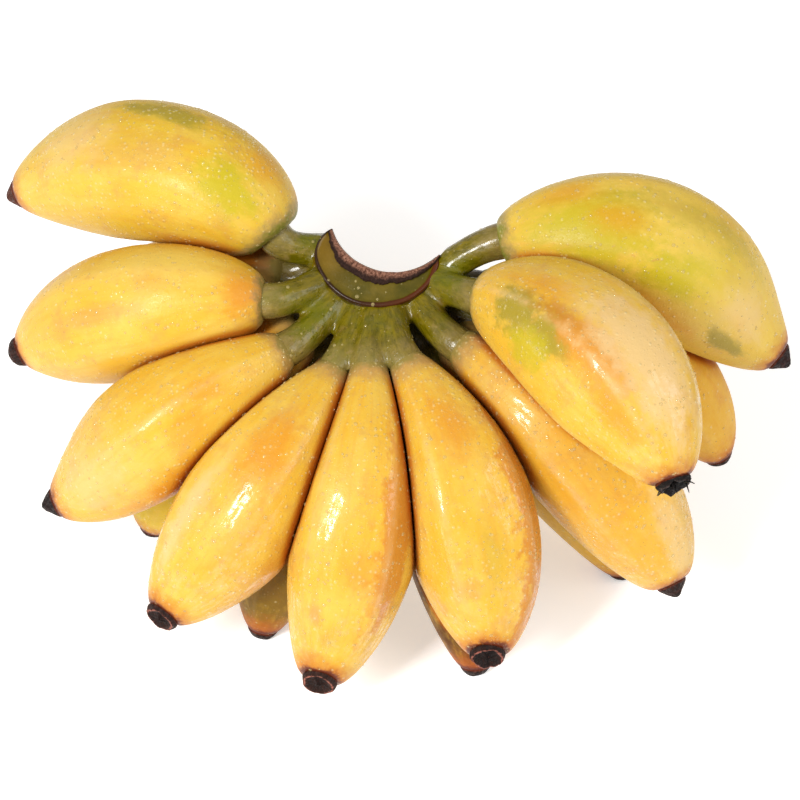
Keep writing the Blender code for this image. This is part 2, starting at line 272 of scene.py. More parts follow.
def skin_surface(index, fruit, bodies, stalks):
    """A fruit's rings, with the attributes that its skin's colours follow."""
    share = np.linspace(0, 1, FRUIT_STATIONS)
    t = (1 - END_CROWDING) * share + END_CROWDING * (1 - np.cos(np.pi * share)) / 2
    away_from_ends = np.sin(np.pi * t)[:, None]
    points, directions = fruit_axis(fruit, t)
    angle = np.broadcast_to(2 * np.pi * np.arange(FRUIT_SIDES) / FRUIT_SIDES, (len(t), FRUIT_SIDES))
    sway = RIDGE_SWAY * np.array([noise.noise(Vector((3.1 * x, index, 0))) for x in t])[:, None]
    sway = sway * away_from_ends
    radii = fruit_radius(fruit, t)[:, None]
    from_end = np.where(t > END_FROM, radii[:, 0] - TIP_RADIUS, OFF_THE_END)
    end = np.broadcast_to(from_end[:, None], angle.shape)
    softened = RIDGE_SOFTNESS.get(fruit.name, USUAL_SOFTNESS)
    radii = radii * (softened + (1 - softened) * ridge_factor(angle + sway, t[:, None]))
    rings = rings_round(points, directions, fruit.bulge, radii, FRUIT_SIDES)
    swell = 1 + away_from_ends * sum(high * lumps(rings, wide, index) for high, wide in SWELLINGS)
    rings = points[:, None] + swell[..., None] * (rings - points[:, None])
    others = [body for i, body in enumerate(bodies + stalks) if i % len(FRUITS) != index]
    rings, room = pressed(rings, points, bodies[index], others, PRESSED_GAP)
    off_ridge = np.abs(np.mod((angle + sway) / WEDGE + 0.5, 1) - 0.5) * 2
    ridge = np.exp(-((off_ridge / RIDGE_BREADTH[index % 3]) ** 2)) * away_from_ends**0.3
    along = np.broadcast_to(t[:, None], angle.shape)
    grown = np.stack([np.cos(angle), np.sin(angle), along], axis=-1)
    # How near the other skins lie, for the painted shade and bruising where they touch.
    bruise_and_shade = np.exp(-room / CONTACT_REACH)
    # The skin starts inside the end of the stalk.
    first = rings[0] - points[0]
    inside = [points[0] + size * first - back * directions[0] for back, size in SKIN_START]
    values = {"grown": grown, "ridge": ridge, "bruise_and_shade": bruise_and_shade, "end": end}
    for key, part in values.items():
        values[key] = np.concatenate([part[:1]] * len(inside) + [part])
    return np.concatenate([inside, rings]), values


# Colours are written as they look on a screen in the full light, from 0 to 255.
FULL_LIGHT = 1.42


def screen(red, green, blue):
    """The linear colour that a shader takes to look like this screen colour in the full light."""
    parts = [c / 255 for c in (red, green, blue)]
    linear = [c / 12.92 if c < 0.04045 else ((c + 0.055) / 1.055) ** 2.4 for c in parts]
    return tuple(c / FULL_LIGHT for c in linear) + (1.0,)


def set_inputs(tree, node, inputs):
    """Sets or joins each of these inputs of a node."""
    for key, value in inputs.items():
        if isinstance(value, bpy.types.NodeSocket):
            tree.links.new(value, node.inputs[key])
        else:
            node.inputs[key].default_value = value


def add(tree, kind, inputs, **settings):
    """Adds a node with these settings and inputs."""
    made = tree.nodes.new(kind)
    for key, value in settings.items():
        setattr(made, key, value)
    set_inputs(tree, made, inputs)
    return made


def new_material(name):
    """A material, its node tree and its shader."""
    material = bpy.data.materials.new(name)
    material.use_nodes = True
    return material, material.node_tree, material.node_tree.nodes["Principled BSDF"]


def object_place(tree):
    """Where a point of the piece lies."""
    return add(tree, "ShaderNodeTexCoord", {}).outputs["Object"]


def attribute(tree, name, output="Fac"):
    """What a mesh stores for each point under this name."""
    return add(tree, "ShaderNodeAttribute", {}, attribute_name=name).outputs[output]


def mixed(tree, factor, first, second):
    """The colour between two colours."""
    return add(tree, "ShaderNodeMix", {0: factor, 6: first, 7: second}, data_type="RGBA").outputs[2]


def layered(tree, colour, *layers):
    """A colour with further ones laid over it in turn, each where its mask says."""
    for mask, shade in layers:
        colour = mixed(tree, mask, colour, shade)
    return colour


def mixed_value(tree, factor, first, second):
    """The value between two values."""
    return add(tree, "ShaderNodeMix", {0: factor, 2: first, 3: second}, data_type="FLOAT").outputs[0]


def maths(tree, operation, *values):
    """The result of one Math node."""
    return add(tree, "ShaderNodeMath", dict(enumerate(values)), operation=operation).outputs[0]


def times(tree, first, second):
    """One value times another."""
    return maths(tree, "MULTIPLY", first, second)


def plus(tree, first, second):
    """One value and another."""
    return maths(tree, "ADD", first, second)


def minus(tree, first, second):
    """One value less another."""
    return maths(tree, "SUBTRACT", first, second)


def swinging(tree, value, amount):
    """Noise from 0 to 1, made to swing about nought."""
    return times(tree, minus(tree, value, 0.5), amount)


def vector_maths(tree, operation, *values):
    """The result of one Vector Math node."""
    made = add(tree, "ShaderNodeVectorMath", dict(enumerate(values)), operation=operation)
    return made.outputs["Value" if operation == "LENGTH" else "Vector"]


def ranged(tree, value, low, high, to_low=0.0, to_high=1.0):
    """A value eased from one range into another."""
    inputs = {"Value": value, "From Min": low, "From Max": high, "To Min": to_low, "To Max": to_high}
    return add(tree, "ShaderNodeMapRange", inputs, interpolation_type="SMOOTHSTEP").outputs[0]


def noisy(tree, place, scale, detail=3.0, roughness=0.5):
    """Smooth noise from 0 to 1."""
    inputs = {"Vector": place, "Scale": scale, "Detail": detail, "Roughness": roughness}
    return add(tree, "ShaderNodeTexNoise", inputs).outputs["Fac"]


def patches(tree, place, kind, low, high, to_low=0.0, to_high=1.0):
    """Noise of this scale, detail and roughness, cut to soft patches."""
    return ranged(tree, noisy(tree, place, *kind), low, high, to_low, to_high)


def bumped(tree, height, strength, distance, under=None):
    """The normal of a surface with these bumps, on top of others if there are any."""
    inputs = {"Height": height, "Strength": strength, "Distance": distance}
    if under is not None:
        inputs["Normal"] = under
    return add(tree, "ShaderNodeBump", inputs).outputs[0]


def group_tree(name, inputs, outputs):
    """A node group with these inputs and outputs: its tree, what comes in and its last node."""
    tree = bpy.data.node_groups.new(name, "ShaderNodeTree")
    for key, (kind, value) in inputs.items():
        socket = tree.interface.new_socket(key, in_out="INPUT", socket_type="NodeSocket" + kind)
        socket.default_value = value
    for key in outputs:
        tree.interface.new_socket(key, in_out="OUTPUT", socket_type="NodeSocketFloat")
    return tree, tree.nodes.new("NodeGroupInput").outputs, tree.nodes.new("NodeGroupOutput")


def grouped(tree, group, **inputs):
    """The outputs of a node group that is placed with these inputs."""
    return add(tree, "ShaderNodeGroup", inputs, node_tree=group).outputs


def blotch_group():
    """A soft-edged blotch at one place of a skin, longer or wider, with a wavering outline."""
    inputs = {
        "Grown": ("Vector", (0, 0, 0)),
        "Centre": ("Vector", (1, 0, 0.5)),
        "Size": ("Vector", (0.4, 0.4, 0.1)),
        "Softness": ("Float", 0.5),
    }
    tree, given, result = group_tree("blotch", inputs, ["Mask"])
    off = vector_maths(tree, "SUBTRACT", given["Grown"], given["Centre"])
    far = vector_maths(tree, "LENGTH", vector_maths(tree, "DIVIDE", off, given["Size"]))
    stretched = vector_maths(tree, "MULTIPLY", given["Grown"], (1, 1, 4))
    wavering = plus(tree, far, swinging(tree, noisy(tree, stretched, 4.4, 5.0, 0.65), 2.2))
    low = minus(tree, 1.0, given["Softness"])
    high = plus(tree, 1.0, given["Softness"])
    set_inputs(tree, result, {"Mask": ranged(tree, wavering, low, high, 1.0, 0.0)})
    return tree


def mottling_group():
    """Soft cloudy changes of a skin's ripeness, drawn out along the fruit."""
    inputs = {"Grown": ("Vector", (0, 0, 0)), "Seed": ("Float", 0.0)}
    tree, given, result = group_tree("mottling", inputs, ["Cloud", "Streak", "Speck"])
    seeded = add(tree, "ShaderNodeCombineXYZ", {2: given["Seed"]}).outputs[0]
    moved = vector_maths(tree, "MULTIPLY_ADD", given["Grown"], (1, 1, 3.4), seeded)
    drawn_out = vector_maths(tree, "MULTIPLY", moved, (1, 1, 0.22))
    marks = {
        "Cloud": patches(tree, moved, (1.6, 3.0, 0.55), 0.36, 0.66),
        "Streak": patches(tree, drawn_out, (9.0, 4.0, 0.65), 0.42, 0.7),
        "Speck": patches(tree, moved, (26.0, 3.0, 0.7), 0.62, 0.78),
    }
    set_inputs(tree, result, marks)
    return tree


def dew_group():
    """Fine beads of dew, too small for drops of their own: where they lie and how high they stand."""
    inputs = {"Place": ("Vector", (0, 0, 0)), "Beads": ("Float", 0.5)}
    tree, given, result = group_tree("fine dew", inputs, ["Wet", "Height"])
    domes = []
    for scale, radius in ((560.0, 0.42), (1150.0, 0.4)):
        cell_inputs = {"Vector": given["Place"], "Scale": scale, "Randomness": 1.0}
        cells = add(tree, "ShaderNodeTexVoronoi", cell_inputs, feature="F1").outputs
        picked = add(tree, "ShaderNodeSeparateColor", {"Color": cells["Color"]}).outputs[0]
        there = maths(tree, "LESS_THAN", picked, given["Beads"])
        domes.append(times(tree, ranged(tree, cells["Distance"], 0.0, radius, 1.0, 0.0), there))
    height = maths(tree, "MAXIMUM", domes[0], times(tree, domes[1], 0.5))
    set_inputs(tree, result, {"Height": height, "Wet": ranged(tree, height, 0.05, 0.4)})
    return tree


blotch = blotch_group()
mottling = mottling_group()
fine_dew = dew_group()

YELLOW = screen(249, 200, 62)
PALE = screen(251, 214, 100)
ORANGE = screen(240, 158, 38)
BRUISE_AND_SHADE_ORANGE = screen(206, 104, 16)
CREAM = screen(252, 212, 146)
LIME = screen(210, 190, 34)
OLIVE = screen(174, 154, 46)
OCHRE = screen(224, 140, 44)
STALK_GREEN = screen(138, 142, 44)
NECK_GREY = screen(176, 150, 96)
NECK_TAN = screen(196, 150, 92)
DUSTY_GREEN = screen(156, 138, 66)
TAN = screen(218, 154, 88)
HALO = screen(104, 36, 8)
STAIN = screen(200, 98, 20)
SPECK = screen(120, 70, 30)
# The pale cream of the fine beads of dew, a painted highlight.
BEAD_PAINTED_HIGHLIGHT = screen(255, 234, 170)
# A painted shade for skins of the lower row that lie in shadow.
PAINTED_SHADE = screen(92, 50, 4)

# The blotches of each skin, most its own colours and a few painted light or shade: how far along
# from the neck, the angle round, the half length, the half width round in radians, the softness,
# the colour and how strong it is.
BLOTCHES = {
    "upper_1": [
        (0.458, 350, 0.12, 0.16, 0.5, OLIVE, 0.8),
        (0.196, 309, 0.10, 0.42, 0.6, LIME, 0.9),
        (0.163, 357, 0.06, 0.35, 0.6, ORANGE, 0.5),
        (0.43, 309, 0.07, 0.22, 0.8, TAN, 0.35),
        (0.55, 300, 0.09, 0.3, 0.8, TAN, 0.3),
        (0.7, 318, 0.1, 0.4, 0.8, CREAM, 0.5),
    ],
    "upper_2": [
        (0.06, 340, 0.06, 0.6, 0.7, ORANGE, 0.9),
        (0.55, 325, 0.16, 0.14, 0.8, TAN, 0.45),
        (0.33, 350, 0.06, 0.2, 0.8, TAN, 0.3),
        (0.3, 15, 0.16, 0.4, 0.8, PALE, 0.8),
    ],
    "upper_3": [
        (0.30, 356, 0.07, 0.25, 0.7, ORANGE, 0.6),
        (0.383, 332, 0.07, 0.22, 0.7, ORANGE, 0.5),
        (0.5, 290, 0.22, 0.3, 0.7, ORANGE, 0.9),
        (0.75, 350, 0.14, 0.5, 0.9, CREAM, 0.5),
    ],
    "upper_4": [
        (0.37, 25, 0.12, 0.4, 0.7, ORANGE, 0.8),
        (0.63, 0, 0.14, 0.22, 0.8, ORANGE, 0.45),
        (0.62, 300, 0.2, 0.35, 0.8, ORANGE, 0.55),
        (0.68, 55, 0.2, 0.16, 0.8, CREAM, 0.7),
    ],
    "upper_5": [
        (0.5, 352, 0.32, 0.32, 0.35, OCHRE, 0.85),
        (0.62, 25, 0.06, 0.25, 0.8, ORANGE, 0.5),
        (0.79, 58, 0.04, 0.12, 0.8, TAN, 0.6),
        (0.88, 40, 0.05, 0.25, 0.8, OLIVE, 0.25),
    ],
    "upper_6": [
        (0.25, 40, 0.10, 0.35, 0.7, ORANGE, 0.7),
        (0.66, 350, 0.42, 0.36, 0.25, OCHRE, 0.85),
        (0.64, 40, 0.1, 0.2, 0.9, OLIVE, 0.25),
        (0.8, 92, 0.12, 0.2, 0.8, LIME, 0.35),
    ],
    "upper_7": [
        (0.6, 65, 0.3, 0.5, 0.9, ORANGE, 0.35),
        (0.84, 14, 0.16, 0.3, 0.5, CREAM, 0.6),
    ],
    "upper_8": [
        (0.258, 83, 0.11, 0.4, 0.4, OLIVE, 0.9),
        (0.433, 78, 0.10, 0.34, 0.4, OLIVE, 0.9),
        (0.36, 106, 0.10, 0.3, 0.5, LIME, 0.8),
        (0.54, 66, 0.2, 0.2, 0.5, OCHRE, 0.8),
        (0.30, 50, 0.1, 0.2, 0.8, ORANGE, 0.5),
        (0.604, 68, 0.12, 0.3, 0.7, ORANGE, 0.9),
        (0.775, 85, 0.1, 0.25, 0.8, ORANGE, 0.7),
        (0.68, 36, 0.24, 0.5, 0.6, CREAM, 0.85),
    ],
    "upper_9": [
        # Painted light: a broad pale wash lightens the whole skin, where the key light falls weaker.
        (0.45, 70, 0.6, 1.8, 0.9, PALE, 0.5),
        (0.24, 56, 0.16, 0.65, 0.6, LIME, 0.9),
        (0.62, 60, 0.16, 0.5, 0.9, LIME, 0.45),
        (0.492, 76, 0.10, 0.28, 0.6, LIME, 0.95),
        (0.817, 100, 0.08, 0.2, 0.4, OLIVE, 0.85),
        (0.50, 24, 0.2, 0.2, 0.7, OLIVE, 0.35),
        (0.19, 14, 0.07, 0.25, 0.8, ORANGE, 0.5),
        (0.31, 45, 0.07, 0.22, 0.8, ORANGE, 0.5),
        (0.5, 118, 0.2, 0.25, 0.8, ORANGE, 0.6),
        (0.78, 64, 0.1, 0.35, 0.8, CREAM, 0.6),
    ],
    "lower_2": [(0.85, 0, 0.2, 1.6, 0.8, LIME, 0.6)],
    # The dark blotches of lower_3 and lower_4 are painted shade, where they lie under the upper row.
    "lower_3": [(0.8, 350, 0.4, 2.0, 0.8, OLIVE, 0.6), (0.75, 340, 0.4, 2.2, 0.8, PAINTED_SHADE, 0.7)],
    "lower_4": [(0.8, 0, 0.5, 2.4, 0.8, PAINTED_SHADE, 0.98)],
    "lower_6": [(0.7, 0, 0.5, 2.4, 0.9, ORANGE, 0.3)],
}
# How each skin looks: how ripe it is, from green yellow at 0 to orange at 1, how thick its fine dew
# is, how worn its ridges are, how much water films it, how far the neck's colour reaches and
# whether the neck is still green.
Finish = namedtuple(
    "Finish", "ripeness dew wear film neck_reach green_neck", defaults=(0.5, 0.5, 0.3, 0.06, 1.0, False)
)
FINISHES = {
    "upper_1": Finish(ripeness=0.15, dew=0.7, wear=0.12, neck_reach=0.7, green_neck=True),
    "upper_2": Finish(ripeness=0.45, wear=0.12, neck_reach=0.4),
    "upper_3": Finish(dew=0.65, film=0.25, neck_reach=0.8),
    "upper_4": Finish(film=1.0),
    "upper_5": Finish(film=1.0),
    "upper_6": Finish(dew=0.8, film=0.9),
    "upper_7": Finish(ripeness=0.7, dew=0.85, film=0.6),
    "upper_8": Finish(ripeness=0.3, dew=0.6, wear=0.5, film=0.8, neck_reach=0.6, green_neck=True),
    "upper_9": Finish(ripeness=0.1, dew=0.5, wear=0.15, neck_reach=0.6, green_neck=True),
    "lower_3": Finish(dew=0.15, wear=0.1),
    "lower_4": Finish(dew=0.1, wear=0.0),
    "lower_6": Finish(dew=0.3, green_neck=True),
}
UNRIPE_BELOW = 0.2
SEED_STEP = 5.7
UPPER_GLOSS = 0.22
LOWER_GLOSS = 0.1
WET_ROUGHNESS = 0.06


def ripe_colour(tree, name, ripeness, seed, place, grown):
    """A skin's own colour: clouds and streaks of riper orange, smudges and its larger blotches."""
    mottled = grouped(tree, mottling, Grown=grown, Seed=seed * SEED_STEP)
    base = tuple(y + (o - y) * 0.35 * ripeness for y, o in zip(YELLOW, ORANGE))
    if ripeness < UNRIPE_BELOW:
        base = tuple(y + (g - y) * 0.22 for y, g in zip(YELLOW, LIME))
    colour = layered(
        tree,
        base,
        (times(tree, mottled["Cloud"], 0.45), PALE),
        (times(tree, mottled["Streak"], 0.26), ORANGE),
        (times(tree, patches(tree, place, (85.0, 5.0, 0.68), 0.5, 0.68), 0.36), TAN),
        (times(tree, patches(tree, place, (140.0, 4.0, 0.6), 0.54, 0.7), 0.3), PALE),
    )
    for at, angle, length, width, softness, shade, strength in BLOTCHES.get(name, []):
        centre = (math.cos(math.radians(angle)), math.sin(math.radians(angle)), at)
        size = (width, width, length)
        mask = grouped(tree, blotch, Grown=grown, Centre=centre, Size=size, Softness=softness)["Mask"]
        colour = mixed(tree, times(tree, mask, strength), colour, shade)
    return colour, mottled["Speck"]


def worn_colour(tree, finish, colour, speck, place, grown, far):
    """The marks on a skin: worn ridges, specks, bruising and painted shade where others lie against it,
    the neck and the stained end.
    """
    ridge = attribute(tree, "ridge")
    worn = patches(tree, place, (160.0, 4.0, 0.6), 0.38, 0.64, 0.1, finish.wear)
    rubbed = times(tree, ridge, patches(tree, place, (420.0, 3.0, 0.6), 0.6, 0.68))
    ragged = swinging(tree, noisy(tree, place, 260.0, 5.0, 0.65), 0.09)
    along = add(tree, "ShaderNodeSeparateXYZ", {0: grown}).outputs[2]
    from_neck = maths(tree, "DIVIDE", plus(tree, along, ragged), finish.neck_reach)
    near, nearest = (NECK_GREY, STALK_GREEN) if finish.green_neck else (NECK_TAN, DUSTY_GREEN)
    frayed = plus(tree, far, times(tree, ragged, 55.0))
    return layered(
        tree,
        colour,
        (times(tree, ridge, worn), CREAM),
        (times(tree, rubbed, 0.45), TAN),
        (times(tree, speck, 0.08), SPECK),
        # Painted shade with some bruising: the skin is deeper orange where another lies close against
        # it.
        (ranged(tree, attribute(tree, "bruise_and_shade"), 0.35, 0.95, 0.0, 0.8), BRUISE_AND_SHADE_ORANGE),
        (ranged(tree, from_neck, 0.03, 0.09, 0.75, 0.0), near),
        (ranged(tree, from_neck, 0.0, 0.045, 0.9, 0.0), nearest),
        (ranged(tree, frayed, 1.0, 6.5, 0.8, 0.0), STAIN),
        (ranged(tree, frayed, 0.6, 2.6, 0.97, 0.0), HALO),
    )


def skin_material(name, seed):
    """Waxy yellow skin with its own marks and painted shade where skins touch, wet with fine beads of
    dew painted lighter as highlights, and a film of water.
    """
    finish = FINISHES.get(name, Finish())
    material, tree, shader = new_material("skin_" + name)
    place = object_place(tree)
    grown = attribute(tree, "grown", "Vector")
    far = attribute(tree, "end")
    colour, speck = ripe_colour(tree, name, finish.ripeness, seed, place, grown)
    colour = worn_colour(tree, finish, colour, speck, place, grown, far)
    cloudy = patches(tree, place, (55.0, 2.0), 0.35, 0.7, 0.25, 1.0)
    wet = grouped(tree, fine_dew, Place=place, Beads=times(tree, cloudy, finish.dew))
    grain = noisy(tree, place, 1500.0, 3.0, 0.6)
    dull = ranged(tree, grain, 0.3, 0.7, 0.36, 0.48)
    ripples = times(tree, noisy(tree, place, 420.0, 3.0, 0.6), 3.0)
    rippled = bumped(tree, plus(tree, grain, ripples), 0.2, 0.0003)
    # The film of water lies in patches along the skin, off the flower end, and is broken up.
    film = patches(tree, grown, (8.0, 5.0, 0.7), 0.44, 0.56, 0.0, finish.film)
    film = times(tree, film, ranged(tree, far, 2.0, 9.0))
    broken = patches(tree, place, (520.0, 4.0, 0.65), 0.42, 0.56, 0.12, 1.0)
    looks = {
        # Painted highlight: the fine beads are drawn lighter, for the light that clear water gathers.
        "Base Color": mixed(tree, times(tree, wet["Height"], 0.5), colour, BEAD_PAINTED_HIGHLIGHT),
        "Roughness": mixed_value(tree, wet["Wet"], dull, WET_ROUGHNESS),
        "Normal": bumped(tree, wet["Height"], 0.6, 0.0003, rippled),
        "Coat Weight": times(tree, film, broken),
        "Coat Roughness": 0.09,
        "Specular IOR Level": UPPER_GLOSS if name.startswith("upper") else LOWER_GLOSS,
    }
    set_inputs(tree, shader, looks)
    return material


# The stalks that carry the fruits grow out of the crown, which leans to the front.
CROWN_TILT = math.radians(22)
CROWN_TURN = math.radians(-8)
RIM_HEIGHT = 3.9
RIM_RADIUS = 22.0
RIM_CURL = 0.09
RIM_HALF_ANGLE = math.radians(96)
STALK_ROOT_RADIUS = 6.8
STALK_WAIST_RADIUS = 5.1
STALK_ROOT_AT = 14.0
# How far inside the crescent's ends the outermost stalks start.
ROOT_MARGIN = 0.15
UPPER_ROOT_HEIGHT = -10.0
LOWER_ROOT_HEIGHT = -17.0
# The last stalk of the upper row starts this much further forward and down.
LOW_ROOT = (0.0, -6.5, -4.0)


def crown_place(azimuth, radius, height):
    """A point of the tilted crown; height is measured from the rim."""
    x, y = radius * np.sin(azimuth + CROWN_TURN), -radius * np.cos(azimuth + CROWN_TURN)
    return np.array(
        [
            x,
            y * math.cos(CROWN_TILT) - height * math.sin(CROWN_TILT),
            y * math.sin(CROWN_TILT) + height * math.cos(CROWN_TILT) + RIM_HEIGHT,
        ]
    )


def stalk_axis(fruit, t):
    """Points and directions of a stalk, from inside the crown to just short of the neck."""
    neck, direction = (part[0] for part in fruit_axis(fruit, [0.0]))
    end = neck - JOINED_GAP * direction
    azimuth = math.atan2(neck[0], -neck[1]) - CROWN_TURN
    height = UPPER_ROOT_HEIGHT if fruit.name.startswith("upper") else LOWER_ROOT_HEIGHT
    most = RIM_HALF_ANGLE - ROOT_MARGIN
    root = crown_place(np.clip(azimuth, -most, most), STALK_ROOT_AT, height)
    if fruit.name == "upper_9":
        root = root + LOW_ROOT
    reach = np.linalg.norm(end - root) / 3
    outward = unit(end - root)
    first, second = root + reach * outward, end - reach * direction
    t = np.asarray(t, float)[..., None]
    points = (1 - t) ** 3 * root + 3 * t * (1 - t) ** 2 * first
    points = points + 3 * t**2 * (1 - t) * second + t**3 * end
    slope = (1 - t) ** 2 * (first - root) + 2 * t * (1 - t) * (second - first) + t**2 * (end - second)
    return points, unit(slope)


def stalk_radius(t):
    """A stalk's radius: thick at the crown, thinner in the middle and the neck's at its end."""
    t = np.asarray(t, float)
    waist = STALK_WAIST_RADIUS + (STALK_ROOT_RADIUS - STALK_WAIST_RADIUS) * (1 - t) ** 2
    return waist + (NECK_RADIUS - STALK_WAIST_RADIUS) * t**3


samples = np.linspace(0, 1, AXIS_SAMPLES)
bodies = [(fruit_axis(fruit, samples)[0], fruit_radius(fruit, samples)) for fruit in FRUITS]
stalks = [(stalk_axis(fruit, samples)[0], stalk_radius(samples)) for fruit in FRUITS]
wet_pieces = []
for index, fruit in enumerate(FRUITS):
    rings, values = skin_surface(index, fruit, bodies, stalks)
    banana = lofted("skin_" + fruit.name, rings, **values)
    banana.data.materials.append(skin_material(fruit.name, index))
    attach(banana, "root")
    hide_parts("banana_" + fruit.name)
    wet_pieces.append(banana)

# The flower ends. Each fruit ends in the dried, dark stump of its flower: a low collar with a torn
# rim round a pit, or a small cone where it shrank. Those of the lower row are pressed flat where
# the hand lies on them.

END_SIDES = 30
# Down the stump: millimetres from the tip, and the radius.
PITTED = (
    (-1.6, 4.4), (-0.9, 5.1), (-0.3, 5.65), (0.1, 5.9), (0.5, 5.95), (0.9, 5.85), (1.3, 5.7),
    (1.7, 5.5), (2.1, 5.25), (2.3, 4.85), (2.2, 4.4), (1.8, 3.9), (1.4, 3.3), (1.2, 2.5),
    (1.3, 1.6), (1.7, 0.8), (2.1, 0.3),
)
SHRUNKEN = (
    (-1.6, 4.2), (-0.9, 4.8), (-0.3, 5.2), (0.2, 5.3), (0.8, 5.0), (1.4, 4.5), (2.0, 3.9),
    (2.6, 3.35), (3.1, 2.9), (3.5, 2.5), (3.9, 2.1), (4.3, 1.75), (4.6, 1.35), (4.8, 1.0),
    (4.9, 0.7), (5.0, 0.4), (5.0, 0.15),
)
ROUNDED = (
    (-1.6, 4.4), (-0.9, 5.0), (-0.3, 5.4), (0.2, 5.5), (0.8, 5.35), (1.4, 5.1), (2.0, 4.75),
    (2.6, 4.3), (3.1, 3.8), (3.5, 3.2), (3.8, 2.7), (4.0, 2.2), (4.15, 1.7), (4.25, 1.3),
    (4.3, 0.9), (4.35, 0.5), (4.4, 0.2),
)
# The stumps of the upper row: the shape, how ragged it is, and its body's, rim's and end's colours.
END_KINDS = {
    "upper_1": (SHRUNKEN, 0.4, screen(110, 50, 24), screen(150, 84, 48), screen(66, 30, 16)),
    "upper_2": (ROUNDED, 0.9, screen(70, 32, 18), screen(176, 96, 74), screen(24, 11, 7)),
    "upper_3": (SHRUNKEN, 0.9, screen(44, 20, 14), screen(96, 38, 22), screen(16, 8, 6)),
    "upper_4": (PITTED, 0.8, screen(66, 30, 20), screen(190, 112, 90), screen(26, 12, 8)),
    "upper_5": (PITTED, 0.8, screen(70, 36, 24), screen(200, 120, 98), screen(30, 15, 10)),
    "upper_6": (PITTED, 1.1, screen(52, 24, 14), screen(196, 112, 92), screen(20, 9, 6)),
    "upper_7": (SHRUNKEN, 0.9, screen(60, 28, 16), screen(160, 52, 26), screen(26, 12, 8)),
    "upper_8": (PITTED, 1.8, screen(26, 14, 10), screen(70, 40, 30), screen(12, 6, 4)),
    "upper_9": (SHRUNKEN, 0.7, screen(56, 26, 16), screen(150, 52, 30), screen(26, 12, 9)),
}
LOWER_END = (ROUNDED, 0.6, screen(52, 28, 18), screen(96, 54, 34), screen(26, 13, 8))
END_FOOT = screen(118, 48, 20)
END_RIM_AT = 0.56
# How far the open end leans and how strong its rim's colour is, on a pitted stump and on others.
PITTED_LOOK = (0.42, 0.75)
OTHER_LOOK = (0.2, 0.1)
OPEN_END_FACES = (0.0, -0.64, 0.77)
RIB_DEPTH = 0.04
# How deep and how wide the lumps of a stump are, and the fraying of its rim, which is its tenth ring.
END_LUMPS = ((0.09, 3.2), (0.05, 1.3))
RIM_FRAYING = (0.7, 2.2)
RIM_RING = 9


def end_material(name, rim_strength, body, rim, inner):
    """Dried flower tissue: fibres down the stump, a redder rim and nearly black hollows."""
    material, tree, shader = new_material("dried_" + name)
    place = object_place(tree)
    grown = attribute(tree, "grown", "Vector")
    down = add(tree, "ShaderNodeSeparateXYZ", {0: grown}).outputs[2]
    fibre = noisy(tree, vector_maths(tree, "MULTIPLY", grown, (1, 1, 0.35)), 9.0, 5.0, 0.7)
    crumbs = noisy(tree, place, 900.0, 4.0, 0.7)
    uneven = swinging(tree, crumbs, 0.5)
    foot = plus(tree, down, times(tree, uneven, 0.4))
    off_rim = maths(tree, "ABSOLUTE", minus(tree, down, END_RIM_AT))
    torn = plus(tree, off_rim, maths(tree, "MAXIMUM", uneven, -0.02))
    pit = mixed(tree, ranged(tree, fibre, 0.45, 0.7), inner, body)
    colour = layered(
        tree,
        inner,
        (ranged(tree, fibre, 0.35, 0.7), body),
        (ranged(tree, foot, 0.16, 0.27, 0.85, 0.0), END_FOOT),
        (ranged(tree, torn, 0.0, 0.07, rim_strength, 0.0), rim),
        (ranged(tree, down, 0.66, 0.76, 0.0, 0.85), pit),
        (ranged(tree, crumbs, 0.6, 0.76, 0.0, 0.35), rim),
    )
    looks = {
        "Base Color": colour,
        "Roughness": ranged(tree, crumbs, 0.35, 0.6, 0.4, 0.85),
        "Specular IOR Level": 0.2,
        "Normal": bumped(tree, plus(tree, fibre, times(tree, crumbs, 0.6)), 0.9, 0.0005),
    }
    set_inputs(tree, shader, looks)
    return material


lower_skin = end_material("lower", 0.0, *LOWER_END[2:])
for index, fruit in enumerate(FRUITS):
    profile, ragged, *shades = END_KINDS.get(fruit.name, LOWER_END)
    along, radii = np.array(profile).T
    points, directions = flower_end_line(fruit, along)
    angle = 2 * np.pi * np.arange(END_SIDES) / END_SIDES
    share = np.linspace(0, 1, len(along))
    ribs = 1 + RIB_DEPTH * np.cos(RIDGES * angle + index)[None] * share[:, None]
    rings = rings_round(points, directions, fruit.bulge, radii[:, None] * ribs, END_SIDES)
    roughness = ragged * np.clip(share * 2.2 - 0.1, 0.1, 1)[:, None]
    shrink = 1 + roughness * sum(deep * lumps(rings, wide, index) for deep, wide in END_LUMPS)
    fraying = ragged * RIM_FRAYING[0] * lumps(rings[[RIM_RING]], RIM_FRAYING[1], index + 20)
    fraying = fraying * np.clip((share[:, None] - 0.3) * 3, 0, 1)
    rings = points[:, None] + shrink[..., None] * (rings - points[:, None])
    rings = rings + fraying[..., None] * directions[:, None]
    lean, rim_strength = PITTED_LOOK if profile is PITTED else OTHER_LOOK
    if fruit.name in END_KINDS:
        # The open end faces up and forward, so the stump is short above and long below.
        facing = np.array(OPEN_END_FACES)
        facing = facing - (facing @ directions[0]) * directions[0]
        across = (rings - points[:, None]) @ facing
        rings = rings - (lean * share[:, None] * across)[..., None] * directions[:, None]
        material = end_material(fruit.name, rim_strength, *shades)
    else:
        material = lower_skin
    rings[..., 2] = np.maximum(rings[..., 2], -crown_centre.z / MM)
    grown = (np.cos(angle), np.sin(angle), share[:, None])
    grown = np.stack([np.broadcast_to(part, rings.shape[:2]) for part in grown], axis=-1)
    flower_end = lofted("dried_end_" + fruit.name, rings, grown=grown)
    flower_end.data.materials.append(material)
    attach(flower_end, "root")
    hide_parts("flower_end_" + fruit.name)

# Loose threads of dried tissue hang from the stump of the fruit at the right front. They are its
# own fibres, which grew there.

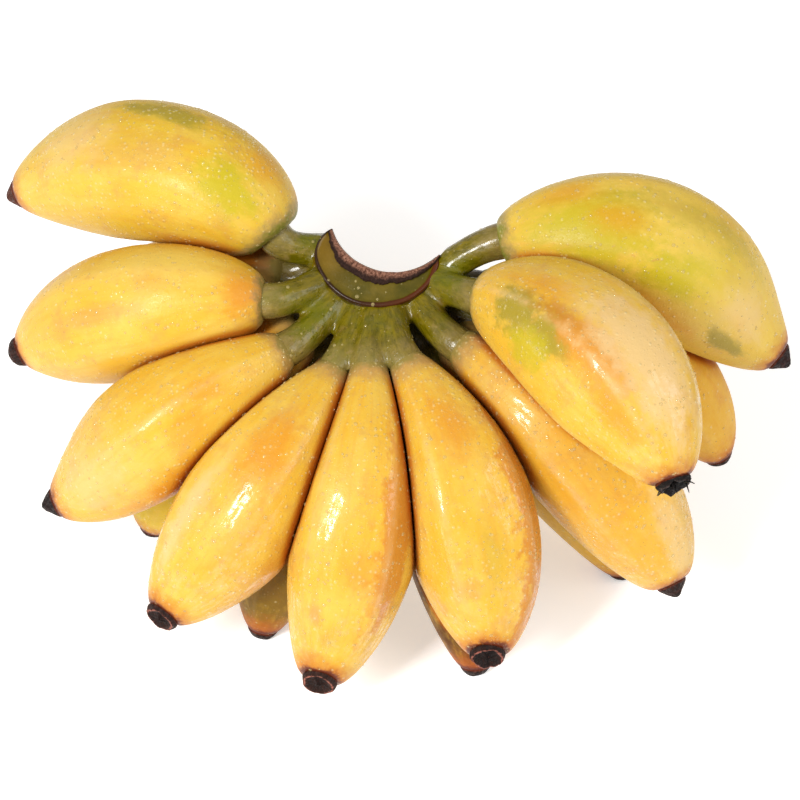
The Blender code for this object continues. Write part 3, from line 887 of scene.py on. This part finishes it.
THREADS = 16
THREADS_FROM = 1.2
THREAD_FEET = (2.0, 5.4)
THREAD_LENGTHS = (1.6, 4.0)
THREAD_RADII = (0.42, 0.12)
THREAD_SPREAD = 0.8
THREAD_SPLAY = 0.5
THREAD_GROWN = (0.0, 0.0, 0.45)
(thread_base,), (down_it,) = flower_end_line(FRUITS[7], [THREADS_FROM])
bm = bmesh.new()
thread_rng = np.random.default_rng(3)
for _ in range(THREADS):
    sideways = unit(np.cross(down_it, thread_rng.normal(size=3)))
    foot = thread_base + sideways * thread_rng.uniform(*THREAD_FEET)
    way = unit(down_it + THREAD_SPREAD * thread_rng.normal(size=3) + THREAD_SPLAY * sideways)
    length = thread_rng.uniform(*THREAD_LENGTHS)
    turn = Vector(way).to_track_quat("Z", "X").to_matrix().to_4x4()
    place = Matrix.Translation(crown_centre + Vector((foot + way * length / 2) * MM)) @ turn
    thick, thin = (radius * MM for radius in THREAD_RADII)
    bmesh.ops.create_cone(
        bm, cap_ends=True, segments=5, radius1=thick, radius2=thin, depth=length * MM, matrix=place
    )
threads = new_object("threads_upper_8", bm)
set_attribute(threads, "grown", np.tile(THREAD_GROWN, (len(threads.data.vertices), 1)))
threads.data.materials.append(bpy.data.materials["dried_upper_8"])
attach(threads, "root")

# The crown's body. The stalks run into one another at their roots, with webs of green tissue
# between neighbours, under the cushion where the hand was cut off the plant's stem. The lower
# row's webs reach on between the fruits as a dark filler, painted shade in the gaps there.

CUT_RADIUS = 21.5
CUT_ACROSS = 5.0
CUT_BEHIND = 11.3
CUTTER_LENGTH = 90.0
CUTTER_SIDES = 128
CUSHION_INNER_RADIUS = 5.0
CUSHION_STATIONS = 40
# The cushion is shallower at its ends, but for the part of its section above this height.
CUSHION_END_DEPTH = 0.4
CUSHION_TOP = -3.0
CUSHION_SECTION = (
    (0.06, -2.4), (0.3, -1.4), (1.0, -1.2), (1.0, -21.0), (0.5, -23.0), (0.1, -21.0),
    (-0.1, -15.0), (-0.12, -8.0), (-0.06, -4.5),
)
STALK_STATIONS = 24
STALK_SIDES = 24
# How far a stalk reaches into the neck, and how much thicker it gets up to the neck and inside it.
STALK_OVERLAP = 3.0
STALK_FLARE = (0.4, 0.1)
# How far along the web between one stalk of a row and the next one reaches.
UPPER_WEBS = (0.2, 0.12, 0.15, 0.85, 0.5, 0.25, 0.12, 0.15)
# The lower row's webs reach almost to the necks, as a dark filler that is painted shade in the gaps.
LOWER_WEBS = (0.6, 0.99, 0.99, 0.99, 0.99)
# The webs of the lower row go on past the necks, to these shares of the fruits, and fill the gaps
# between them with painted shade.
SHADE_FILL_PAST_NECKS = (0.03, 0.08, 0.14)
WEB_FROM = 0.05
WEB_STATIONS = 6
WEB_SIDES = 12
WEB_SLIMNESS = (0.92, 0.66)
WEB_NECK_RADIUS = 5.5
CROWN_VOXEL = 0.75
SOFTENINGS = 22
SHARP_FROM = math.radians(50)
# How far the painted shade about the lower stalks reaches, and where it starts.
SHADE_REACH = 5
SHADE_FROM = 0.1
CROWN_GLOSS = 0.25


def stalk_rings(index, bodies, stalks):
    """The rings of one stalk, ending a little inside the fruit's neck."""
    fruit = FRUITS[index]
    t = np.linspace(0, 1, STALK_STATIONS)
    points, directions = stalk_axis(fruit, t)
    end = points[-1] + directions[-1] * STALK_OVERLAP
    points = np.vstack([points, end])
    directions = np.vstack([directions, directions[-1]])
    radii = np.append(stalk_radius(t) + STALK_FLARE[0] * t**3, NECK_RADIUS + STALK_FLARE[1])
    rings = rings_round(points, directions, fruit.bulge, radii, STALK_SIDES)
    others = [body for i, body in enumerate(bodies) if i != index]
    return pressed(rings, points, stalks[index], others, PRESSED_GAP)[0]


def add_hull(bm, places):
    """Adds the tight skin round these places to a mesh."""
    verts = [bm.verts.new(place * MM + np.array(crown_centre)) for place in places]
    made = bmesh.ops.convex_hull(bm, input=verts)
    loose = made["geom_interior"] + made["geom_unused"]
    inside = {part for part in loose if isinstance(part, bmesh.types.BMVert)}
    bmesh.ops.delete(bm, geom=list(inside), context="VERTS")


def add_webs(bm, row, reaches, further=()):
    """Adds the webs between the stalks of one row of fruits, and further on between the fruits as a dark
    filler for painted shade.
    """
    for left, right, reach in zip(row, row[1:], reaches):
        t = np.linspace(WEB_FROM, reach, WEB_STATIONS)
        slim = np.linspace(*WEB_SLIMNESS, WEB_STATIONS)
        sides = []
        for fruit in (left, right):
            rings = rings_round(*stalk_axis(fruit, t), fruit.bulge, stalk_radius(t) * slim, WEB_SIDES)
            if further:
                radii = [WEB_NECK_RADIUS] * len(further)
                past = rings_round(*fruit_axis(fruit, further), fruit.bulge, radii, WEB_SIDES)
                rings = np.vstack([rings, past])
            sides.append(rings)
        for k in range(len(sides[0]) - 1):
            add_hull(bm, np.vstack([side[k : k + 2].reshape(-1, 3) for side in sides]))


def applied(obj, *modifiers):
    """Applies an object's modifiers."""
    depsgraph = bpy.context.evaluated_depsgraph_get()
    obj.data = bpy.data.meshes.new_from_object(obj.evaluated_get(depsgraph))
    for modifier in modifiers:
        obj.modifiers.remove(modifier)


cushion_rings = []
for share in np.linspace(-1, 1, CUSHION_STATIONS):
    depth = CUSHION_END_DEPTH + (1 - CUSHION_END_DEPTH) * math.sqrt(1 - abs(share) ** 3)
    outer = RIM_RADIUS * (1 - RIM_CURL * share**8)
    ring = []
    for inward, height in CUSHION_SECTION:
        radius = outer + (CUSHION_INNER_RADIUS - outer) * inward
        height = height if height > CUSHION_TOP else height * depth
        ring.append(crown_place(share * RIM_HALF_ANGLE, radius, height))
    cushion_rings.append(ring)
parts = [lofted("cushion", np.array(cushion_rings))]
parts += [lofted("stalk", stalk_rings(index, bodies, stalks)) for index in range(len(FRUITS))]
bm = bmesh.new()
for part in parts:
    bm.from_mesh(part.data)
    bpy.data.objects.remove(part)
add_webs(bm, FRUITS[:UPPER_COUNT], UPPER_WEBS)
add_webs(bm, FRUITS[UPPER_COUNT:], LOWER_WEBS, SHADE_FILL_PAST_NECKS)
bmesh.ops.recalc_face_normals(bm, faces=bm.faces)
crown = new_object("crown_body", bm)
remesh = crown.modifiers.new("remesh", "REMESH")
remesh.mode = "VOXEL"
remesh.voxel_size = CROWN_VOXEL * MM
remesh.use_smooth_shade = True
soften = crown.modifiers.new("soften", "SMOOTH")
soften.factor = 0.5
soften.iterations = SOFTENINGS
applied(crown, remesh, soften)

bm = bmesh.new()
bmesh.ops.create_cone(
    bm, cap_ends=True, segments=CUTTER_SIDES, radius1=CUT_RADIUS, radius2=CUT_RADIUS, depth=CUTTER_LENGTH
)
cut_azimuth = math.atan2(CUT_ACROSS, -CUT_BEHIND) - CROWN_TURN
cut_middle = crown_place(cut_azimuth, math.hypot(CUT_ACROSS, CUT_BEHIND), 0.0)
cut_place = Matrix.Translation(cut_middle) @ Matrix.Rotation(CROWN_TILT, 4, "X")
cut_place = Matrix.Translation(crown_centre) @ Matrix.Scale(MM, 4) @ cut_place
bmesh.ops.transform(bm, matrix=cut_place, verts=bm.verts)
cutter = new_object("cutter", bm)
cut = crown.modifiers.new("cut", "BOOLEAN")
cut.operation = "DIFFERENCE"
cut.solver = "EXACT"
cut.object = cutter
applied(crown, cut)
bpy.data.objects.remove(cutter)
crown.data.shade_smooth()
crown.data.set_sharp_from_angle(angle=SHARP_FROM)

# How near each point of the crown is to a fruit's neck, where the green turns grey and brown.
places = np.array([v.co for v in crown.data.vertices])
necks = np.array([fruit.neck for fruit in FRUITS]) * MM + np.array(crown_centre)
nearest = np.linalg.norm(places[:, None] - necks[None], axis=-1).min(axis=1)
set_attribute(crown, "neck", nearest / MM)
# How much nearer each point is to the stalks of the lower row, which lie in shade, than to the upper
# ones: this sets where the crown is painted dark as shade. The lower row's first stalk is at the side,
# in the light.
places = (places - np.array(crown_centre)) / MM
above = np.min([distance_to(*stalk, places) for stalk in stalks[:UPPER_COUNT]], axis=0)
below = np.min([distance_to(*stalk, places) for stalk in stalks[UPPER_COUNT + 1 :]], axis=0)
set_attribute(crown, "under", np.clip((above - below) / SHADE_REACH - SHADE_FROM, 0, 1))


def streaks(tree, place, scale):
    """Noise drawn out along the stalks, which all run away from the crown's centre."""
    off = vector_maths(tree, "SUBTRACT", place, tuple(crown_centre))
    ray = vector_maths(tree, "NORMALIZE", off)
    return noisy(tree, vector_maths(tree, "MULTIPLY_ADD", off, (14, 14, 14), ray), scale, 5.0, 0.62)


def crown_material():
    """Glossy wet green tissue with darker and yellower streaks, grey and scuffed by the necks, and
    painted dark brown shade about the lower stalks.
    """
    material, tree, shader = new_material("crown_green")
    place = object_place(tree)
    neck = attribute(tree, "neck")
    under = attribute(tree, "under")
    streak = streaks(tree, place, 14.0)
    scuffed = patches(tree, place, (330.0, 5.0, 0.7), 0.54, 0.68)
    scuffed = times(tree, scuffed, ranged(tree, neck, 8.0, 22.0, 0.75, 0.05))
    ragged = plus(tree, neck, swinging(tree, noisy(tree, place, 260.0, 5.0, 0.65), 9.0))
    colour = layered(
        tree,
        screen(102, 92, 2),
        (ranged(tree, streak, 0.3, 0.74), screen(146, 126, 6)),
        (patches(tree, place, (70.0,), 0.44, 0.7, 0.0, 0.6), screen(114, 118, 4)),
        (patches(tree, place, (110.0, 4.0, 0.6), 0.56, 0.7, 0.0, 0.5), screen(116, 84, 20)),
        (scuffed, screen(156, 132, 66)),
        (ranged(tree, ragged, 3.0, 11.0, 0.6, 0.0), NECK_GREY),
        # Painted shade: dark brown about the lower row's stalks, under the upper row.
        (times(tree, under, 0.92), screen(66, 36, 12)),
    )
    broken = patches(tree, place, (420.0, 4.0, 0.65), 0.4, 0.58, 0.15, 0.6)
    wet = grouped(tree, fine_dew, Place=place, Beads=0.35)
    dull = ranged(tree, streak, 0.3, 0.7, 0.22, 0.4)
    looks = {
        "Base Color": colour,
        "Roughness": mixed_value(tree, wet["Wet"], dull, WET_ROUGHNESS),
        "Normal": bumped(tree, wet["Height"], 0.7, 0.0003, bumped(tree, streak, 0.5, 0.0009)),
        "Coat Weight": mixed_value(tree, under, broken, 0.0),
        "Coat Roughness": 0.1,
        "Specular IOR Level": CROWN_GLOSS,
    }
    set_inputs(tree, shader, looks)
    return material


crown.data.materials.clear()
crown.data.materials.append(crown_material())
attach(crown, "root")
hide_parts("crown")
wet_pieces.append(crown)

# The crown's rim: the green crescent that stands on top, with a brown, corky lip along its
# outer edge. It grew as part of the crown.

RIM_STATIONS = 150
# Where the rim's ends start. The left one runs in to the tip of the torn band, this far round and
# inward, and the right one stops where the cut meets it.
RIM_END_FROM = 0.72
LEFT_END_TURN = 0.12
LEFT_END_INWARD = 2.9
RIGHT_END_TURN = 0.183
# How far the face runs on under the torn band, and how much of it is left where the cut is near.
FACE_OVERLAP = 0.4
LEAST_FACE = 0.2
# The lip's width, how much wider it gets to the right, and how much it changes on the way.
LIP_WIDTH = 1.15
LIP_WIDENING = 0.45
LIP_CHANGE = 0.15
RIM_LUMPS = (0.16, 4.0)
# From the foot of the outer wall over the lip and the dished face to the hollow, and back below:
# millimetres in from the rim, height, and how much of the brown lip's colour it has.
RIM_SECTION = (
    (-1.2, -5.5, 0.0), (-0.8, -4.0, 0.0), (-0.35, -2.8, 0.0), (-0.1, -1.9, 0.35), (0.0, -1.2, 0.9),
    (-0.05, -0.6, 1.0), (0.1, -0.05, 1.0), (0.45, 0.28, 1.0), (0.85, 0.25, 0.9), (1.15, 0.0, 0.55),
    (1.5, -0.25, 0.1), (2.4, -0.3, 0.0), (4.0, -0.1, 0.0), (6.0, 0.25, 0.0), (8.0, 0.5, 0.0),
    (10.5, 0.6, 0.0), (14.5, 0.6, 0.0), (14.5, -3.5, 0.0), (7.0, -4.6, 0.0), (2.5, -6.0, 0.0),
)


def cut_reach(azimuth):
    """How far out from the crown's centre the hollow reaches in this direction."""
    way = azimuth + CROWN_TURN
    forward = CUT_ACROSS * math.sin(way) - CUT_BEHIND * math.cos(way)
    return forward + math.sqrt(forward**2 + CUT_RADIUS**2 - CUT_ACROSS**2 - CUT_BEHIND**2)


rim_rings = []
for share in np.linspace(-1, 1, RIM_STATIONS):
    left_part = max((-share - RIM_END_FROM) / (1 - RIM_END_FROM), 0.0)
    right_part = max((share - RIM_END_FROM) / (1 - RIM_END_FROM), 0.0)
    azimuth = share * RIM_HALF_ANGLE - LEFT_END_TURN * left_part**2 - RIGHT_END_TURN * right_part**2
    outer = RIM_RADIUS * (1 - RIM_CURL * share**8) - LEFT_END_INWARD * left_part**2
    room = outer - cut_reach(azimuth) + FACE_OVERLAP
    # The lip is thin and dark on the left and broad and redder on the right.
    width = LIP_WIDTH + LIP_WIDENING * share + LIP_CHANGE * math.sin(9 * share)
    ring = []
    for inward, height, _ in RIM_SECTION:
        inward = inward * width if 0 < inward < 2 else inward
        ring.append(crown_place(azimuth, outer - min(inward, max(room, LEAST_FACE)), height))
    rim_rings.append(ring)
rim_rings = np.array(rim_rings)
lip_rows = np.tile([lip for _, _, lip in RIM_SECTION], (RIM_STATIONS, 1))
turned = np.broadcast_to(np.linspace(-1, 1, RIM_STATIONS)[:, None], lip_rows.shape)
rim_rings[..., 2] += RIM_LUMPS[0] * lumps(rim_rings, RIM_LUMPS[1], 3)
rim = lofted("crown_rim", rim_rings, lip=lip_rows, turned=turned)


def rim_material():
    """Smooth green rind, yellower towards the torn edge, with a brown corky lip."""
    material, tree, shader = new_material("crown_rim")
    place = object_place(tree)
    lip = attribute(tree, "lip")
    turned = attribute(tree, "turned")
    cloud = noisy(tree, place, 120.0, 4.0, 0.55)
    speck = noisy(tree, place, 420.0, 4.0, 0.7)
    brown = mixed(tree, ranged(tree, turned, -0.3, 0.5), screen(58, 34, 12), screen(98, 46, 14))
    edged = plus(tree, lip, swinging(tree, speck, 0.7))
    # The upper left of the face is tinged yellow orange.
    colour = layered(
        tree,
        screen(84, 76, 2),
        (ranged(tree, cloud, 0.35, 0.68), screen(114, 96, 4)),
        (ranged(tree, turned, -1.0, -0.1, 0.55, 0.0), screen(152, 108, 10)),
        (ranged(tree, speck, 0.6, 0.74, 0.0, 0.4), screen(156, 124, 40)),
        (ranged(tree, edged, 0.35, 0.6), brown),
    )
    looks = {
        "Base Color": colour,
        "Roughness": ranged(tree, cloud, 0.3, 0.7, 0.25, 0.42),
        "Normal": bumped(tree, speck, 0.35, 0.0005),
        "Coat Weight": ranged(tree, lip, 0.1, 0.6, 0.3, 0.08),
        "Coat Roughness": 0.1,
        "Specular IOR Level": CROWN_GLOSS,
    }
    set_inputs(tree, shader, looks)
    return material


rim.data.materials.append(rim_material())
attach(rim, "root")
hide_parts("crown")
wet_pieces.append(rim)

# The torn face. Where the hand was cut off the stem, the hollow side of the crown is dried, pale
# brown fibre, and a ragged band of it stands proud along the crescent's inner edge.

TORN_STATIONS = 240
TORN_FROM = math.radians(-74)
TORN_TO = math.radians(46)
# The band's breadth in millimetres at these shares of the way from the left tip to the right.
TORN_BREADTH = (
    (0, 0.12, 0.25, 0.4, 0.52, 0.67, 0.82, 0.92, 1),
    (1.2, 2.9, 4.2, 4.6, 4.5, 3.7, 2.3, 1.4, 0.4),
)
# A band of this breadth or more is of full height, and a narrower one is flatter.
FULL_BREADTH = 4.0
# How far the loose fibres are shifted out and up.
FRAYED_OUT = 0.7
FRAYED_UP = 0.35
TORN_EDGE_AT = 0.46
# Up the hollow wall, over its edge and down onto the green: how far out, in millimetres inside
# the wall and in shares of the breadth outside it, the height, and the share of the frayed shift.
TORN_SECTION = (
    (0.1, -16.0, 0.0), (-0.15, -15.6, 0.1), (-0.25, -13.5, 0.2), (-0.2, -11.0, 0.25),
    (-0.25, -8.5, 0.25), (-0.3, -6.0, 0.2), (-0.3, -4.0, 0.15), (-0.35, -2.2, 0.12),
    (-0.35, -0.8, 0.1), (-0.3, 0.4, 0.08), (-0.1, 1.2, 0.1), (0.08, 1.65, 0.2), (0.22, 1.75, 0.3),
    (0.38, 1.7, 0.4), (0.55, 1.7, 0.55), (0.7, 1.85, 0.75), (0.82, 1.9, 0.9), (0.94, 1.65, 1.0),
    (1.0, 1.1, 1.0), (0.97, 0.5, 0.95), (0.8, -0.4, 0.6), (0.4, -2.5, 0.2), (0.25, -10.0, 0.0),
)


def torn_place(angle, outward, height):
    """A point by the hollow's wall, outward from the wall into the crown."""
    x = CUT_ACROSS + (CUT_RADIUS + outward) * math.sin(angle)
    y = CUT_BEHIND - (CUT_RADIUS + outward) * math.cos(angle)
    return crown_place(math.atan2(x, -y) - CROWN_TURN, math.hypot(x, y), height)


torn_rings = []
for share in np.linspace(0, 1, TORN_STATIONS):
    angle = TORN_FROM + (TORN_TO - TORN_FROM) * share
    breadth = np.interp(share, *TORN_BREADTH)
    taper = min(breadth / FULL_BREADTH, 1.0)
    fray = noise.noise(Vector((share * 26, 0.3, 0))) + 0.6 * noise.noise(Vector((share * 70, 4.1, 0)))
    ring = []
    for outward, height, loose in TORN_SECTION:
        out = outward * (breadth if outward > 0 else 1.0) + FRAYED_OUT * fray * loose * taper
        tall = height * (0.6 + 0.4 * taper) if height < 0 else height * (0.4 + 0.6 * taper)
        tall += FRAYED_UP * loose * noise.noise(Vector((share * 50, out * 0.9, 9)))
        ring.append(torn_place(angle, out, tall))
    torn_rings.append(ring)
across_rows = np.tile(np.linspace(0, 1, len(TORN_SECTION)), (TORN_STATIONS, 1))
round_rows = np.broadcast_to(np.linspace(-1, 1, TORN_STATIONS)[:, None], across_rows.shape)
torn = lofted("torn_face", np.array(torn_rings), across=across_rows, round=round_rows)


def torn_material():
    """Dried torn fibre: pinkish brown on top, and nearly black with painted shadow where it curls over
    onto the green.
    """
    material, tree, shader = new_material("torn_fibre")
    place = object_place(tree)
    across = attribute(tree, "across")
    round_it = times(tree, attribute(tree, "round"), 34.0)
    fibre_place = add(tree, "ShaderNodeCombineXYZ", {0: round_it, 1: times(tree, across, 14.0)})
    fibre = noisy(tree, fibre_place.outputs[0], 1.0, 6.0, 0.75)
    clots = noisy(tree, place, 520.0, 4.0, 0.7)
    edge = maths(tree, "ABSOLUTE", minus(tree, across, TORN_EDGE_AT))
    curl_shadow = plus(tree, across, swinging(tree, clots, 0.22))
    outer = layered(
        tree,
        screen(92, 50, 34),
        (ranged(tree, fibre, 0.38, 0.6), screen(188, 134, 108)),
        (ranged(tree, edge, 0.0, 0.05, 0.8, 0.0), screen(216, 170, 148)),
    )
    inner = mixed(tree, ranged(tree, fibre, 0.32, 0.68), screen(110, 78, 46), screen(186, 150, 104))
    colour = layered(
        tree,
        inner,
        (ranged(tree, across, 0.3, 0.42), outer),
        # Painted shadow: the band is nearly black where it curls down over the green.
        (ranged(tree, curl_shadow, 0.56, 0.7, 0.0, 0.94), screen(40, 20, 14)),
        (ranged(tree, clots, 0.58, 0.68, 0.0, 0.7), screen(58, 30, 20)),
    )
    looks = {
        "Base Color": colour,
        "Roughness": ranged(tree, clots, 0.3, 0.7, 0.45, 0.8),
        "Specular IOR Level": 0.2,
        "Normal": bumped(tree, plus(tree, fibre, times(tree, clots, 0.5)), 0.9, 0.0008),
    }
    set_inputs(tree, shader, looks)
    return material


torn.data.materials.append(torn_material())
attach(torn, "root")
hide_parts("crown")

# The dew. Fine drops of clear water stand all over the skins and the stalks, thicker on some
# fruits and about the necks, as they were sprayed on from above.

# How many drops stand on one piece.
DROPS_ON_UPPER = 560
DROPS_ON_LOWER = 80
DROPS_ON_CROWN = 300
DROPS_ON_RIM = 30
DROP_RADII = (0.2, 0.75)
DROP_STRETCH = (0.85, 1.15)
DROP_HEIGHT = 0.45
# How far past upright a surface still holds drops.
HOLDS_DROPS = 0.45


def water_material():
    """Clear water, drawn as a see-through bead whose pale cream colour is painted light."""
    material, tree, shader = new_material("water")
    # The pale cream is painted light: the clear water has no colour of its own.
    looks = {"Base Color": screen(255, 232, 160), "Roughness": 0.04, "IOR": 1.33, "Alpha": 0.32}
    set_inputs(tree, shader, looks)
    return material


def add_drops(name, piece, count, rng):
    """Sets drops on the upward parts of a piece, and joins them in one piece of dew."""
    mesh = piece.data
    mesh.calc_loop_triangles()
    points = np.array([v.co for v in mesh.vertices])
    # Blender may store the faces in another order in each run, so the drops follow a sorted list.
    corners = points[np.array(sorted(tuple(t.vertices) for t in mesh.loop_triangles))]
    normals = np.cross(corners[:, 1] - corners[:, 0], corners[:, 2] - corners[:, 0])
    areas = np.linalg.norm(normals, axis=1)
    normals = normals / np.maximum(areas, 1e-12)[:, None]
    weights = areas * np.clip(normals[:, 2] + HOLDS_DROPS, 0, 1)
    chosen = rng.choice(len(areas), size=count, p=weights / weights.sum())
    bm = bmesh.new()
    bmesh.ops.create_uvsphere(bm, u_segments=8, v_segments=5, radius=1.0)
    number_of = bm.verts.layers.int.new("number")
    made = 1
    while made < count:
        faces = [f for f in bm.faces if f.verts[0][number_of] < count - made]
        copies = bmesh.ops.duplicate(bm, geom=faces)["geom"]
        for part in copies:
            if isinstance(part, bmesh.types.BMVert):
                part[number_of] += made
        made = min(2 * made, count)
    matrices = []
    for triangle in chosen:
        a, b = rng.random(2)
        a, b = (1 - a, 1 - b) if a + b > 1 else (a, b)
        place = corners[triangle, 0] * (1 - a - b) + corners[triangle, 1] * a + corners[triangle, 2] * b
        radius = DROP_RADII[0] + (DROP_RADII[1] - DROP_RADII[0]) * rng.random() ** 4
        turn = Vector(normals[triangle]).to_track_quat("Z", "X").to_matrix().to_4x4()
        shape = Matrix.Diagonal((radius, radius * rng.uniform(*DROP_STRETCH), radius * DROP_HEIGHT, 1.0))
        matrices.append(Matrix.Translation(place) @ turn @ Matrix.Scale(MM, 4) @ shape)
    for vert in bm.verts:
        vert.co = matrices[vert[number_of]] @ vert.co
    dew = new_object(name, bm)
    dew.data.materials.append(water)
    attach(dew, "root")


water = water_material()
rng = np.random.default_rng(7)
for piece in wet_pieces:
    if piece.name.startswith("skin_"):
        amount = DROPS_ON_LOWER if "lower" in piece.name else DROPS_ON_UPPER
    else:
        amount = DROPS_ON_RIM if piece is rim else DROPS_ON_CROWN
    add_drops("dew_" + piece.name, piece, amount, rng)

# The stage: a plain white floor, the camera above and in front, and soft studio light with its
# key at the upper left.

bm = bmesh.new()
bmesh.ops.create_grid(bm, x_segments=1, y_segments=1, size=3.0)
floor = new_object("floor", bm)
floor_material, floor_tree, floor_shader = new_material("floor")
floor_looks = {
    "Base Color": (0.9, 0.9, 0.9, 1),
    "Emission Color": (1, 1, 1, 1),
    "Emission Strength": 0.42,
    "Roughness": 0.9,
    "Specular IOR Level": 0.1,
}
set_inputs(floor_tree, floor_shader, floor_looks)
floor.data.materials.append(floor_material)

ELEVATION = math.radians(50)
CAMERA_DISTANCE = 0.75
CAMERA_LENS = 100.0
# The crown's centre is seen at this pixel of the 800 x 800 frame, where a pixel is this wide.
CROWN_PIXEL = (378.0, 250.0)
FRAME_CENTRE = 400
PIXEL = 0.00033
looking = Vector((0, math.cos(ELEVATION), -math.sin(ELEVATION)))
upward = Vector((0, math.sin(ELEVATION), math.cos(ELEVATION)))
rightward = Vector((1, 0, 0))
aside = rightward * (FRAME_CENTRE - CROWN_PIXEL[0]) * PIXEL
above_it = upward * (CROWN_PIXEL[1] - FRAME_CENTRE) * PIXEL
focus = crown_centre + aside + above_it
camera = bpy.data.objects.new("camera", bpy.data.cameras.new("camera"))
camera.data.lens = CAMERA_LENS
camera.location = focus - looking * CAMERA_DISTANCE
camera.rotation_euler = looking.to_track_quat("-Z", "Y").to_euler()
bpy.context.scene.collection.objects.link(camera)
bpy.context.scene.camera = camera


LIGHTS_LOOK_AT = (0, 0, 0.06)


def area_light(name, direction, distance, size, watts):
    """A soft oblong light that looks at the hand from this direction."""
    light = bpy.data.objects.new(name, bpy.data.lights.new(name, "AREA"))
    light.data.shape = "RECTANGLE"
    light.data.size, light.data.size_y = size
    light.data.energy = watts
    toward = Vector(direction).normalized()
    light.location = Vector(LIGHTS_LOOK_AT) + toward * distance
    light.rotation_euler = toward.to_track_quat("Z", "Y").to_euler()
    bpy.context.scene.collection.objects.link(light)


area_light("key", (-0.52, -0.55, 0.65), 1.3, (0.26, 0.62), 17.5)
area_light("fill", (0.75, -0.3, 0.6), 1.6, (1.2, 1.2), 12.0)
world = bpy.data.worlds.new("world")
world.use_nodes = True
background = world.node_tree.nodes["Background"]
set_inputs(world.node_tree, background, {"Color": (1, 1, 1, 1), "Strength": 0.42})
bpy.context.scene.world = world
bpy.context.scene.view_settings.view_transform = "Standard"
